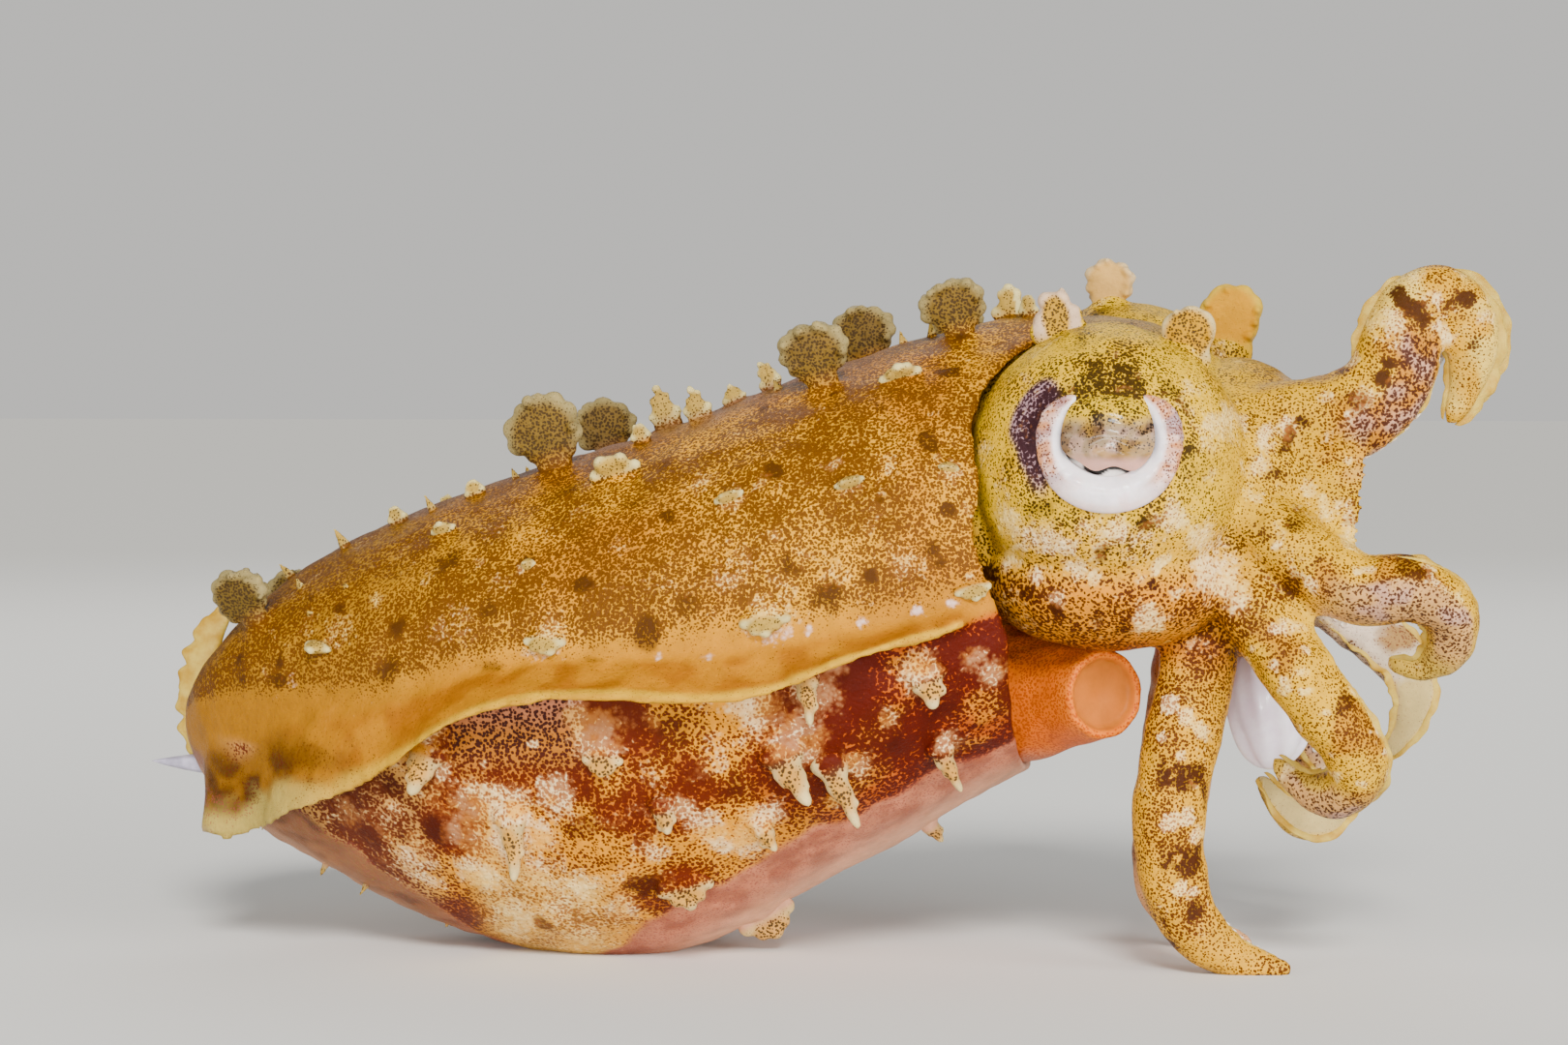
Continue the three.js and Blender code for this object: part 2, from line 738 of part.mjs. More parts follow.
function funnel() {
  const mouth = frameAt(funnelFrames(), 1);
  const bore = new THREE.CylinderGeometry(funnelBore, funnelBore * 0.8, 2 * funnelBoreDepth, 14);
  const turn = new THREE.Quaternion().setFromUnitVectors(new THREE.Vector3(0, 1, 0), mouth.tangent);
  bore.applyQuaternion(turn).translate(...mouth.point);
  const body = funnelForm(0).subtract(solid(bore));
  return largest(body.subtract(headForm(seam)).subtract(armRoots(seam)));
}

function fin(table, side) {
  const first = table[0][0];
  const last = table[table.length - 1][0];
  const blade = new THREE.CylinderGeometry(1, 1, 1, finAround, finAlong);
  reshape(blade, (p) => {
    const share = first + (last - first) * (p.y + 0.5);
    const width = along(table, share, 1) + finSink;
    const droop = THREE.MathUtils.degToRad(along(table, share, 2));
    const root = mantlePoint(share, (side * Math.PI) / 2, -finSink);
    const step = 0.01;
    const run = mantlePoint(share + step, (side * Math.PI) / 2);
    run.sub(mantlePoint(share - step, (side * Math.PI) / 2)).setZ(0).normalize();
    const outward = new THREE.Vector3(-run.y, run.x, 0).multiplyScalar(side);
    const across = new THREE.Vector3(0, 0, -Math.sin(droop)).addScaledVector(outward, Math.cos(droop));
    const face = new THREE.Vector3().crossVectors(run, across).normalize();
    const far = (1 - p.z) / 2;
    const half = (p.x * THREE.MathUtils.lerp(finRootThickness, finEdgeThickness, far)) / 2;
    p.copy(root).addScaledVector(across, width * far).addScaledVector(face, half);
  });
  return largest(solid(blade).subtract(mantleForm(seam)).subtract(headForm(seam)));
}

function cuttleboneSpine() {
  const length = spine.baseX - spine.tipX;
  const cone = new THREE.ConeGeometry(spine.radius, length, 10).rotateZ(Math.PI / 2);
  cone.translate((spine.baseX + spine.tipX) / 2, 0, spine.z);
  return largest(solid(cone).subtract(mantleForm(seam)));
}

function buccalMembrane() {
  const ball = new THREE.SphereGeometry(1, 28, 10);
  reshape(ball, (p) => {
    const around = Math.atan2(p.x, p.z);
    const low = THREE.MathUtils.clamp(-p.y, 0, 1);
    const reach = 1 + buccal.lobeDepth * low * Math.cos(buccal.lobes * around);
    p.set(p.x * reach * buccal.radii[0], p.z * reach * buccal.radii[1], p.y * buccal.radii[2]);
    p.add(new THREE.Vector3(...buccal.at));
  });
  return largest(solid(ball).subtract(headForm(seam)).subtract(armRoots(seam)));
}

function armPiece(arm, from, to) {
  const clear = armTube(arm, from, to).subtract(headForm(seam)).subtract(armRoots(seam, arm));
  return largest(join([clear, ...suckers(arm, from, to)]).subtract(belowFloor()));
}

// Materials
const skinGold = new THREE.MeshStandardMaterial({ color: 0xb9801f, roughness: 0.45, metalness: 0 });
const skinOrange = new THREE.MeshStandardMaterial({ color: 0xd9741a, roughness: 0.4, metalness: 0 });
const finAmber = new THREE.MeshStandardMaterial({ color: 0xd0901c, roughness: 0.35, metalness: 0 });
const eyePearl = new THREE.MeshStandardMaterial({ color: 0xe6d9cf, roughness: 0.15, metalness: 0 });
const membrane = new THREE.MeshStandardMaterial({ color: 0xdfe0ea, roughness: 0.35, metalness: 0 });
const bone = new THREE.MeshStandardMaterial({ color: 0xb9b6c4, roughness: 0.5, metalness: 0 });

const cuttlefish = new THREE.Group();

function place(name, made, material) {
  const mesh = new THREE.Mesh(toGeometry(made), material);
  mesh.name = name;
  cuttlefish.add(mesh);
}

place("mantle", mantle(), skinGold);
place("cuttlebone_spine", cuttleboneSpine(), bone);
place("fin_right", fin(finRight, rightSide), finAmber);
place("fin_left", fin(finLeft, leftSide), finAmber);
place("head", head(), skinGold);
place("eye_right", eyeForm(rightSide, 0), eyePearl);
place("eye_left", eyeForm(leftSide, 0), eyePearl);
place("funnel", funnel(), skinOrange);
place("buccal_membrane", buccalMembrane(), membrane);
for (const [name, arm] of Object.entries(arms)) {
  let from = arm.root;
  for (const [piece, end] of armPieces) {
    const to = arm.root + (1 - arm.root) * end;
    place(`${name}_${piece}`, armPiece(arm, from, to), skinGold);
    from = to;
  }
}

export default cuttlefish;
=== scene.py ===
"""Dwarf cuttlefish at life size, walking on its two lowest arms.

The shapes are worked out in millimetres, +Z up, +X forward, the animal's right side at -Y,
and each finished mesh is brought to metres.
"""

import math
import random

import bmesh
import bpy
import numpy as np
from mathutils import Matrix, Vector


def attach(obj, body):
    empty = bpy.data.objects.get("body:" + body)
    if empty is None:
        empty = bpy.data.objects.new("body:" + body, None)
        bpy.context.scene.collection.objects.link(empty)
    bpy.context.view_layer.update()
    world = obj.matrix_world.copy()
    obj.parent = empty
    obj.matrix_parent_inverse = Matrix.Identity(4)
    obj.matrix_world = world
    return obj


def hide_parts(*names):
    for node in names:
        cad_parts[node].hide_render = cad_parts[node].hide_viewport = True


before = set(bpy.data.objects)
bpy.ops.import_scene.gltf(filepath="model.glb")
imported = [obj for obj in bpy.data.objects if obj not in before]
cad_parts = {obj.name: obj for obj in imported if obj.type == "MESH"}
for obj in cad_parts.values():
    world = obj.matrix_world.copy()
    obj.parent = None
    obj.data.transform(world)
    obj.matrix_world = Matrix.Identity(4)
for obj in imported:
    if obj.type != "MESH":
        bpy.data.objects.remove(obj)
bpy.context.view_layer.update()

MM = 0.001
RIGHT, LEFT = -1, 1
SIDES = ((RIGHT, "right"), (LEFT, "left"))
CURVE_STEPS = 600
# Size of the grid on which forms are grown together
MANTLE_GRID, HEAD_GRID, PAPILLA_GRID, FUNNEL_GRID = 0.332, 0.27, 0.14, 0.16
LEAST_PAPILLA = 40  # corners
ABOVE_FLOOR = 0.02

# ---- Measures of the body, as in the CAD model ----

TAIL_X, NOSE_X = -25.0, 35.0
# share along the body, half width, widest height, top height, bottom height
MANTLE = [
    (0, 0, 13.5, 13.5, 13.5),
    (0.125, 5.4, 15.6, 18.6, 8.8),
    (0.25, 9.8, 16.8, 24.0, 4.8),
    (0.375, 13.6, 17.6, 28.2, 0.6),
    (0.5, 15.8, 18.6, 31.9, -0.5),
    (0.625, 16.0, 20.0, 36.0, 5.0),
    (0.75, 14.0, 22.0, 38.6, 10.6),
    (0.875, 10.0, 25.0, 37.8, 14.6),
    (1, 0, 27.0, 27.0, 27.0),
]
WALL = 0.9
DORSAL_MARGIN_X = 30.4
SIDE_MARGIN = (27.6, 20.0, 0.35, 27.0)  # x, height, lean, top

HEAD_CORE = ((32, 0, 28.9), (10.4, 11, 9.9))
CROWN = ((40, 0, 27.2), (6.9, 9.6, 9.0))
EYE_DOME = ((33, 8.2, 29.9), (8.1, 7.6, 8.4))
CHEEK = ((33, 7.4, 23.4), (7.6, 6.2, 4.4))
NECK = ((24.5, 0, 27.2), (9.5, 10.4, 7.4))
EYE_GLOBE = ((33.5, 12.6, 30.9), (4.2, 2.95, 3.9))
LEFT_EYE_RISE = 1.5
EYE_CENTRE = (33.6, 31.5)

FUNNEL_PATH = [(22.4, 0, 16.4), (27, -1.6, 15.9), (30.4, -4.0, 16.3), (32.8, -7.2, 16.4)]
FUNNEL_RADII = (4.6, 4.3, 3.4, 2.6)
SPINE_BASE_X, SPINE_TIP_X, SPINE_Z = -23.2, -27.6, 10.9
MOUTH = ((42.2, 1.6, 15.6), (2.7, 3.2, 4.3))

# path, width at the root, power of the taper, fullness of the sucker side
ARMS = {
    "1_right": (
        [(39.5, -4.2, 31.0), (43.4, -4.4, 32.4), (46.5, -4.6, 32.9), (48.9, -4.6, 34.6),
         (49.8, -4.4, 37.0), (50.7, -4.1, 39.0), (52.2, -3.8, 39.7), (53.5, -3.5, 38.7),
         (54.0, -3.3, 36.8), (53.6, -3.2, 34.4), (52.7, -3.2, 32.2)],
        5.2, 2.8, 1.3,
    ),
    "2_right": (
        [(40.4, -7.4, 27.7), (44.1, -8.8, 24.9), (47.5, -9.6, 22.8), (50.7, -9.8, 22.9),
         (52.8, -9.0, 21.7), (52.9, -7.6, 19.5), (51.4, -6.4, 18.2), (49.2, -5.6, 18.4)],
        4.4, 2.3, 1.15,
    ),
    "3_right": (
        [(40.0, -7.4, 24.1), (43.0, -9.4, 19.6), (45.3, -10.0, 16.3), (47.1, -9.7, 13.9),
         (47.6, -8.9, 12.0), (46.7, -7.9, 10.8), (45.1, -7.0, 10.7), (43.7, -6.3, 11.5),
         (42.6, -5.8, 12.8)],
        4.4, 2.3, 1.1,
    ),
    "4_right": (
        [(38.4, -4.8, 22.0), (38.0, -6.4, 17.4), (37.3, -7.2, 13.8), (36.6, -7.6, 10.1),
         (36.7, -7.6, 6.4), (37.7, -7.4, 3.2), (40.0, -7.0, 1.2), (42.2, -6.8, 0.5),
         (44.0, -6.8, 0.2)],
        4.5, 3.4, 1.0,
    ),
    "1_left": (
        [(39.5, 4.2, 31.0), (44.0, 4.4, 32.6), (46.9, 4.4, 33.4), (49.2, 4.2, 35.2),
         (50.4, 4.0, 37.2), (51.4, 3.7, 38.8), (52.9, 3.4, 39.4), (54.1, 3.1, 38.4),
         (54.5, 2.9, 36.5), (54.0, 2.8, 34.4), (53.0, 2.8, 32.4)],
        4.8, 2.8, 1.2,
    ),
    "2_left": (
        [(41.0, 7.4, 26.9), (45.5, 8.2, 21.6), (48.5, 8.0, 18.9), (50.3, 7.4, 17.0),
         (50.7, 6.8, 14.8), (49.9, 6.2, 12.9), (48.9, 6.0, 11.6)],
        4.2, 2.3, 1.15,
    ),
    "3_left": (
        [(40.0, 7.4, 23.0), (42.6, 8.8, 16.6), (44.7, 8.5, 12.4), (45.7, 7.8, 9.8),
         (45.3, 6.8, 8.1), (43.9, 6.0, 7.8), (42.5, 5.4, 8.9), (41.3, 5.0, 10.8)],
        4.2, 2.3, 1.1,
    ),
    "4_left": (
        [(37.6, 4.4, 21.6), (36.9, 5.2, 16.4), (36.3, 5.4, 11.6), (35.7, 5.2, 7.0),
         (35.7, 4.8, 3.6), (37.2, 4.4, 1.5), (39.3, 4.0, 0.6), (41.2, 3.8, 0.2)],
        4.6, 3.4, 1.0,
    ),
}
ARM_NODES = [f"arm_{name}_{length}" for name in ARMS for length in ("base", "middle", "tip")]
CROWN_AXIS = (1, 0, -0.25)
ARM_TIP_RADIUS = 0.28
BEND_SHARE = 0.62
# share of the arm's radius at each twelfth of a turn from the sucker side
ARM_SECTION = (0.76, 0.86, 1.1, 1.0, 0.96, 0.98, 1.02, 0.98, 0.96, 1.0, 1.1, 0.86)
# Webs on each side: arms, shares where they start and end, depth
WEBS = [(1, 2, 0.05, 0.4, 0.6), (2, 3, 0.05, 0.36, 0.5), (3, 4, 0.02, 0.2, 0.3)]

# share along the mantle, width, droop in degrees below level
FIN_RIGHT = [
    (0.765, 0.7, 15), (0.65, 2.7, 28), (0.55, 3.8, 36), (0.46, 3.6, 18), (0.36, 4.8, 58),
    (0.28, 7.0, 74), (0.2, 7.9, 82), (0.12, 7.4, 88), (0.05, 5.0, 94),
]
FIN_LEFT = [
    (0.765, 0.7, 15), (0.65, 2.7, 24), (0.55, 3.6, 30), (0.46, 3.8, 8), (0.36, 4.4, 16),
    (0.28, 4.8, 6), (0.2, 5.0, -14), (0.11, 3.2, -36), (0.03, 1.0, -14),
]
FIN_SINK = 1.2
FIN_ROOT, FIN_EDGE = 1.7, 0.7  # thickness
# Path of the left fin's rear end, round the tail
TAIL_EDGE = [
    (-23.4, 3.2, 20.6), (-24.5, 3.0, 19.0), (-25.1, 2.6, 17.0), (-25.3, 2.2, 14.6),
    (-25.0, 1.8, 12.0), (-24.2, 1.6, 10.6),
]

# Papillae: share along the mantle, degrees from the top (right is negative), width, height,
# turn in the skin's plane, lean towards the belly
FANS = [
    (0.21, -52, 4.2, 3.9, 0, -24), (0.441, -20, 5.1, 4.9, 0, -12), (0.458, 17, 4.2, 3.8, 8, -12),
    (0.62, -24, 4.5, 4.2, 4, -10), (0.637, 16, 4.4, 4.1, -6, -10), (0.717, -16, 4.3, 3.6, 0, -8),
    (0.2, 52, 3.6, 3.4, 0, -30), (0.705, 24, 3.6, 3.2, 0, -8),
]
CRESTS = [
    (0.488, -34, 3.4, 1.7, 4, 8), (0.507, -4, 2.2, 2.9, 0, 0), (0.532, -12, 2.0, 2.0, 10, 0),
    (0.552, -6, 1.7, 1.2, -6, 0), (0.676, -30, 2.8, 1.2, 0, 20), (0.754, 4, 2.5, 2.2, 0, 0),
    (0.545, 20, 2.2, 2.0, 0, 0), (0.372, -38, 1.8, 0.9, 0, 20), (0.284, -76, 2.2, 1.1, 18, 30),
    (0.456, -82, 2.8, 1.4, 8, 60), (0.568, -54, 2.0, 0.8, -6, 10), (0.648, -58, 2.0, 0.8, -6, 10),
    (0.596, -84, 3.2, 1.4, 0, 55), (0.37, 42, 2.0, 1.1, 0, 15), (0.33, 74, 2.2, 1.2, 10, 35),
    (0.47, 80, 2.8, 1.5, 0, 55), (0.56, 50, 2.2, 1.0, 0, 10), (0.62, 82, 3.0, 1.4, 0, 50),
    (0.44, -60, 1.1, 0.5, 0, 10), (0.742, -86, 2.4, 1.0, 0, 55), (0.72, -60, 1.5, 0.6, 20, 10),
]
SPIKES = [
    (0.224, -14, 0.9, 1.3, 0, 0), (0.28, -18, 1.0, 1.5, 0, 0), (0.324, -16, 1.2, 1.1, 0, 0),
    (0.352, -18, 0.8, 1.3, 0, 0), (0.384, -18, 1.3, 1.0, 0, 0), (0.496, -16, 1.2, 1.2, 0, 0),
    (0.576, -5, 1.4, 1.9, 0, 0), (0.668, -4, 0.9, 1.0, 0, 0), (0.774, -3, 1.2, 1.5, 0, 0),
    (0.34, 24, 1.4, 1.6, 0, 0), (0.26, -162, 0.7, 1.1, 0, 0), (0.3, -158, 0.7, 1.0, 0, 0),
    (0.36, -164, 0.5, 0.6, 0, 0), (0.31, -150, 0.4, 0.5, 0, 0), (0.23, 160, 0.6, 0.8, 0, 0),
    (0.3, -52, 0.7, 0.7, 0, 0), (0.27, -60, 0.8, 0.7, 0, 0), (0.6, -12, 0.8, 0.9, 0, 0),
    (0.585, -14, 1.0, 0.8, 0, 0), (0.25, -40, 0.9, 0.8, 0, 0), (0.41, -14, 0.8, 0.9, 0, 0),
    (0.404, 12, 0.8, 1.0, 0, 0), (0.69, -6, 0.9, 1.1, 0, 0), (0.24, 30, 1.0, 1.0, 0, 0),
]
FLAPS = [
    (0.372, -106, 2.2, 2.4, 12, 62), (0.492, -106, 2.6, 1.7, 8, 60),
    (0.427, -118, 1.6, 3.4, -14, 76),
    (0.528, -119, 1.5, 1.3, 0, 60), (0.604, -114, 2.1, 3.0, -10, 66), (0.622, -98, 1.3, 2.7, 0, 66),
    (0.634, -120, 1.6, 3.6, -8, 68), (0.706, -106, 2.1, 1.7, 0, 58), (0.712, -130, 1.3, 2.4, 0, 62),
    (0.534, -138, 3.6, 1.8, 6, 66), (0.588, -131, 1.4, 1.4, 0, 60), (0.688, -176, 1.3, 1.2, 0, 30),
    (0.571, -174, 3.9, 2.0, 0, 20), (0.38, 108, 2.2, 2.3, 8, 62), (0.48, 112, 2.2, 2.6, 0, 66),
    (0.56, 106, 2.0, 2.6, 0, 64), (0.64, 118, 1.8, 3.2, 0, 66), (0.53, 138, 3.4, 1.8, 0, 66),
]
# Papillae on the head: place, direction, width, height
HEAD_FANS = [
    ((30.3, -8.6, 37.0), (-0.16, -0.05, 1), 1.9, 3.2),
    ((37.3, -8.8, 36.0), (0.3, -0.05, 1), 3.3, 3.4),
    ((32.0, 7.6, 39.0), (-0.04, 0, 1), 3.3, 3.6),
    ((39.1, 7.8, 36.2), (0.14, 0, 1), 4.0, 4.9),
]
# For each of these: lobes, depth of the notches, width of the stalk, core, rim, dots
HEAD_FAN_LOOKS = [
    (3, 0.1, 0.46, "a87c1c", "c8a888", 0.5), (5, 0.14, 0.52, "b07c00", "c8b078", 0.5),
    (8, 0.24, 0.3, "c09450", "ccb080", 0.12), (7, 0.12, 0.42, "bc8000", "c4a028", 0.2),
]


# ---- Number helpers ----

def rise(value, low, high):
    """Smooth step from 0 at low to 1 at high"""
    t = np.clip((np.asarray(value, float) - low) / (high - low), 0, 1)
    return t * t * (3 - 2 * t)


def fall(value, low, high):
    """Smooth step from 1 at low to 0 at high"""
    return rise(-np.asarray(value, float), -high, -low)


def blend(a, b, share):
    return a * (1 - share) + b * share


def mix(a, b, share):
    """Colours a and b, as hex codes or values, blended by a share for each point"""
    a, b = [tint(colour) if isinstance(colour, str) else np.asarray(colour) for colour in (a, b)]
    return blend(a, b, np.asarray(share, float)[..., None])


def coats(colour, *layers):
    """Colour under further layers, each a colour and its share"""
    for layer, share in layers:
        colour = mix(colour, layer, share)
    return colour


def tint(code):
    """Linear colour from a hex code"""
    levels = np.array([int(code[i : i + 2], 16) / 255 for i in (0, 2, 4)])
    return np.where(levels <= 0.04045, levels / 12.92, ((levels + 0.055) / 1.055) ** 2.4)


def grain(points, size, seed, octaves=1):
    """Smooth random values from 0 to 1, in lumps of about the given size"""
    total, weight = np.zeros(len(points)), 0
    for octave in range(octaves):
        q = points / (size / 2**octave) + 31.7 * seed + 500
        cell = np.floor(q).astype(np.int64)
        part = q - cell
        part = part * part * (3 - 2 * part)
        for corner in np.ndindex(2, 2, 2):
            c = cell + np.array(corner)
            h = (c[:, 0] * 73856093) ^ (c[:, 1] * 19349663) ^ (c[:, 2] * 83492791) ^ (seed * 7919)
            h = ((h ^ (h >> 13)) * 1274126177) & 0xFFFFFFFF
            h = ((h ^ (h >> 15)) * 668265263) & 0xFFFFFFFF
            level = ((h >> 8) & 0xFFFF) / 65535
            total += level * np.prod(np.where(corner, part, 1 - part), axis=1) / 2**octave
        weight += 1 / 2**octave
    return np.clip((total / weight - 0.5) * 1.5 + 0.5, 0, 1)


def unit(v):
    v = np.asarray(v, float)
    return v / np.maximum(np.linalg.norm(v, axis=-1, keepdims=True), 1e-9)


def course(table, column):
    """Smooth curve through one column of a table whose first column is the share"""
    rows = sorted(table)
    xs = np.array([row[0] for row in rows], float)
    ys = np.array([row[column] for row in rows], float)
    slopes = np.zeros(len(xs))
    for i in range(len(xs)):
        low, high = max(i - 1, 0), min(i + 1, len(xs) - 1)
        slopes[i] = (ys[high] - ys[low]) / (xs[high] - xs[low])
    dense = np.linspace(xs[0], xs[-1], CURVE_STEPS)
    k = np.clip(np.searchsorted(xs, dense, "right") - 1, 0, len(xs) - 2)
    span = xs[k + 1] - xs[k]
    u = (dense - xs[k]) / span
    a, b, m1, m2 = ys[k], ys[k + 1], slopes[k] * span, slopes[k + 1] * span
    values = (((2 * a - 2 * b + m1 + m2) * u + (3 * b - 3 * a - 2 * m1 - m2)) * u + m1) * u + a
    return lambda share: np.interp(share, dense, values)


# ---- Making forms ----

def form(around, rings, rule):
    """Closed form: a sphere whose rings and turns are laid out by a rule"""
    bm = bmesh.new()
    bmesh.ops.create_uvsphere(bm, u_segments=around, v_segments=rings, radius=1.0)
    co = np.array([v.co for v in bm.verts])
    share = np.arccos(np.clip(co[:, 2], -1, 1)) / math.pi
    turn = np.arctan2(co[:, 1], co[:, 0])
    for vert, place in zip(bm.verts, rule(share, turn)):
        vert.co = place
    bm.normal_update()
    bmesh.ops.recalc_face_normals(bm, faces=bm.faces[:])
    if bm.calc_volume(signed=True) < 0:
        bmesh.ops.reverse_faces(bm, faces=bm.faces[:])
    return bm


def blob(at, radii, axes=None, around=24, rings=14):
    """Ellipsoid, with its radii along the given axes"""
    axes = np.identity(3) if axes is None else np.array(axes)

    def rule(share, turn):
        level, out = np.cos(math.pi * share), np.sin(math.pi * share)
        ball = np.stack([out * np.cos(turn), out * np.sin(turn), level], 1)
        return np.array(at) + (ball * np.array(radii)) @ axes

    return form(around, rings, rule)


def gather(forms):
    """One mesh from several forms, which are used up"""
    whole = bmesh.new()
    for bm in forms:
        part = bpy.data.meshes.new("part")
        bm.to_mesh(part)
        bm.free()
        whole.from_mesh(part)
        bpy.data.meshes.remove(part)
    return whole


def fuse(forms, voxel, easing):
    """Flesh of several overlapping forms, grown together and eased"""
    whole = gather(forms)
    mesh = bpy.data.meshes.new("raw")
    whole.to_mesh(mesh)
    whole.free()
    raw = bpy.data.objects.new("raw", mesh)
    bpy.context.scene.collection.objects.link(raw)
    remesh = raw.modifiers.new("grow_together", "REMESH")
    remesh.mode = "VOXEL"
    remesh.voxel_size = voxel * 1
    ease = raw.modifiers.new("ease", "SMOOTH")
    ease.factor = 0.5
    ease.iterations = easing
    bpy.context.view_layer.update()
    ready = raw.evaluated_get(bpy.context.evaluated_depsgraph_get())
    flesh = bpy.data.meshes.new_from_object(ready)
    bpy.data.objects.remove(raw)
    bpy.data.meshes.remove(mesh)
    return flesh


def drop_crumbs(mesh, least):
    """Takes out the loose bits that have fewer corners than least"""
    ends = np.zeros(len(mesh.edges) * 2, np.int32)
    mesh.edges.foreach_get("vertices", ends)
    ends = ends.reshape(-1, 2)
    island, before = np.arange(len(mesh.vertices)), None
    while not np.array_equal(island, before):
        before, lowest = island, island[ends].min(1)
        island = island.copy()
        for k in (0, 1):
            np.minimum.at(island, ends[:, k], lowest)
        island = island[island]
    crumbs = np.flatnonzero(np.bincount(island)[island] < least)
    bm = bmesh.new()
    bm.from_mesh(mesh)
    bm.verts.ensure_lookup_table()
    bmesh.ops.delete(bm, geom=[bm.verts[i] for i in crumbs], context="VERTS")
    bm.to_mesh(mesh)
    bm.free()


def to_mesh(bm, name="mesh"):
    mesh = bpy.data.meshes.new(name)
    bm.to_mesh(mesh)
    bm.free()
    return mesh


def corners(mesh):
    co = np.zeros(len(mesh.vertices) * 3, np.float32)
    mesh.vertices.foreach_get("co", co)
    return co.reshape(-1, 3).astype(float)


def outward(mesh):
    normals = np.zeros(len(mesh.vertices) * 3, np.float32)
    mesh.vertices.foreach_get("normal", normals)
    return normals.reshape(-1, 3).astype(float)


def place_corners(mesh, co, floor=0.0):
    """Moves the mesh's corners to new places, none of them below the floor; gives the places"""
    co[:, 2] = np.maximum(co[:, 2], floor)
    mesh.vertices.foreach_set("co", co.astype(np.float32).ravel())
    mesh.update()
    return co


def piece(name, mesh, material, slot, *nodes, paint=None):
    """Finished piece in metres; paint holds a value or colour for each corner of the mesh"""
    for key, values in (paint or {}).items():
        values = np.asarray(values, float)
        levels = np.ones((len(mesh.vertices), 4), np.float32)
        levels[:, : values.shape[1]] = values
        layer = mesh.color_attributes.new(name=key, type="FLOAT_COLOR", domain="POINT")
        layer.data.foreach_set("color", levels.ravel())
    mesh.name = name
    mesh.transform(Matrix.Scale(MM, 4))
    mesh.shade_smooth()
    mesh.materials.clear()
    mesh.materials.append(material)
    made = bpy.data.objects.new(name, mesh)
    bpy.context.scene.collection.objects.link(made)
    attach(made, "root")
    if nodes:
        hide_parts(*nodes)


# ---- Mantle ----

MANTLE_WIDTH, MANTLE_WIDEST, MANTLE_TOP, MANTLE_BOTTOM = [course(MANTLE, c) for c in (1, 2, 3, 4)]


def mantle_x(share):
    return TAIL_X + (NOSE_X - TAIL_X) * (1 - np.cos(math.pi * np.asarray(share))) / 2


def mantle_point(share, angle, extra=0.0):
    """Place on the mantle; the angle runs from the top, positive towards the animal's left"""
    values = [np.asarray(value, float) for value in (share, angle, extra)]
    share, angle, extra = np.broadcast_arrays(*values)
    widest = MANTLE_WIDEST(share)
    up = np.cos(angle)
    height = np.where(up > 0, MANTLE_TOP(share) - widest, widest - MANTLE_BOTTOM(share))
    around = extra * np.sin(math.pi * share)
    return np.stack(
        [
            mantle_x(share) - extra * np.cos(math.pi * share),
            (MANTLE_WIDTH(share) + around) * np.sin(angle),
            widest + (height + around) * up,
        ],
        -1,
    )


def mantle_frame(share, angle):
    step = 0.01
    point = mantle_point(share, angle)
    forward = unit(mantle_point(share + step, angle) - mantle_point(share - step, angle))
    sideways = mantle_point(share, angle + step) - mantle_point(share, angle - step)
    normal = unit(np.cross(forward, sideways))
    down = np.cross(normal, forward) * (-1 if angle < 0 else 1)
    return point, forward, normal, down


def on_mantle(points):
    """Share, degrees from the top and height above the mantle's surface of each point"""
    along = (points[:, 0] - TAIL_X) / (NOSE_X - TAIL_X)
    share = np.arccos(np.clip(1 - 2 * along, -1, 1)) / math.pi
    inside = np.clip(share, 0.02, 0.98)
    width, widest = np.maximum(MANTLE_WIDTH(inside), 0.5), MANTLE_WIDEST(inside)
    rel = points[:, 2] - widest
    tall = np.where(rel > 0, MANTLE_TOP(inside) - widest, widest - MANTLE_BOTTOM(inside))
    tall = np.maximum(tall, 0.5)
    angle = np.arctan2(points[:, 1] / width, rel / tall)
    reach = np.hypot(points[:, 1] / width, rel / tall)
    return share, np.degrees(angle), (reach - 1) * np.sqrt(width * tall)


def eye_rise(side):
    return LEFT_EYE_RISE if side == LEFT else 0.0


def beside_head(shape, side):
    (x, y, z), radii = shape
    return (x, y * side, z + eye_rise(side)), radii


def in_head(points, extra):
    """Whether points are inside the head grown outwards by extra"""
    shapes = [HEAD_CORE, CROWN]
    for side in (RIGHT, LEFT):
        shapes += [beside_head(EYE_DOME, side), beside_head(CHEEK, side)]
    inside = np.zeros(points.shape[:-1], bool)
    for at, radii in shapes:
        inside |= (((points - np.array(at)) / (np.array(radii) + extra)) ** 2).sum(-1) < 1
    return inside


def margin_shares():
    """Share where the mantle's open edge lies, for each degree round the body"""
    degrees = np.arange(-180, 181, 3)
    shares = np.linspace(0.6, 0.9, 400)
    x_side, z_side, lean, z_top = SIDE_MARGIN
    found = []
    for degree in degrees:
        points = mantle_point(shares, math.radians(degree))
        x, z = points[:, 0], points[:, 2]
        past = x > DORSAL_MARGIN_X
        past |= (z < z_top) & ((x > x_side) | (x > x_side - (z - z_side) * lean))
        past |= in_head(points, 0.45)
        found.append(shares[np.argmax(past)] if past.any() else shares[-1])
    found = np.array(found)
    for _ in range(2):
        found = (np.roll(found[:-1], 1) + 2 * found[:-1] + np.roll(found[:-1], -1)) / 4
        found = np.append(found, found[0])
    return lambda angle: np.interp(np.degrees(angle), degrees, found)


MARGIN = margin_shares()
OUTSIDE, LIP, LINING = 0.76, 0.82, 0.95  # where the cup's rings turn at its open edge
CAVITY_SHARE = 0.6


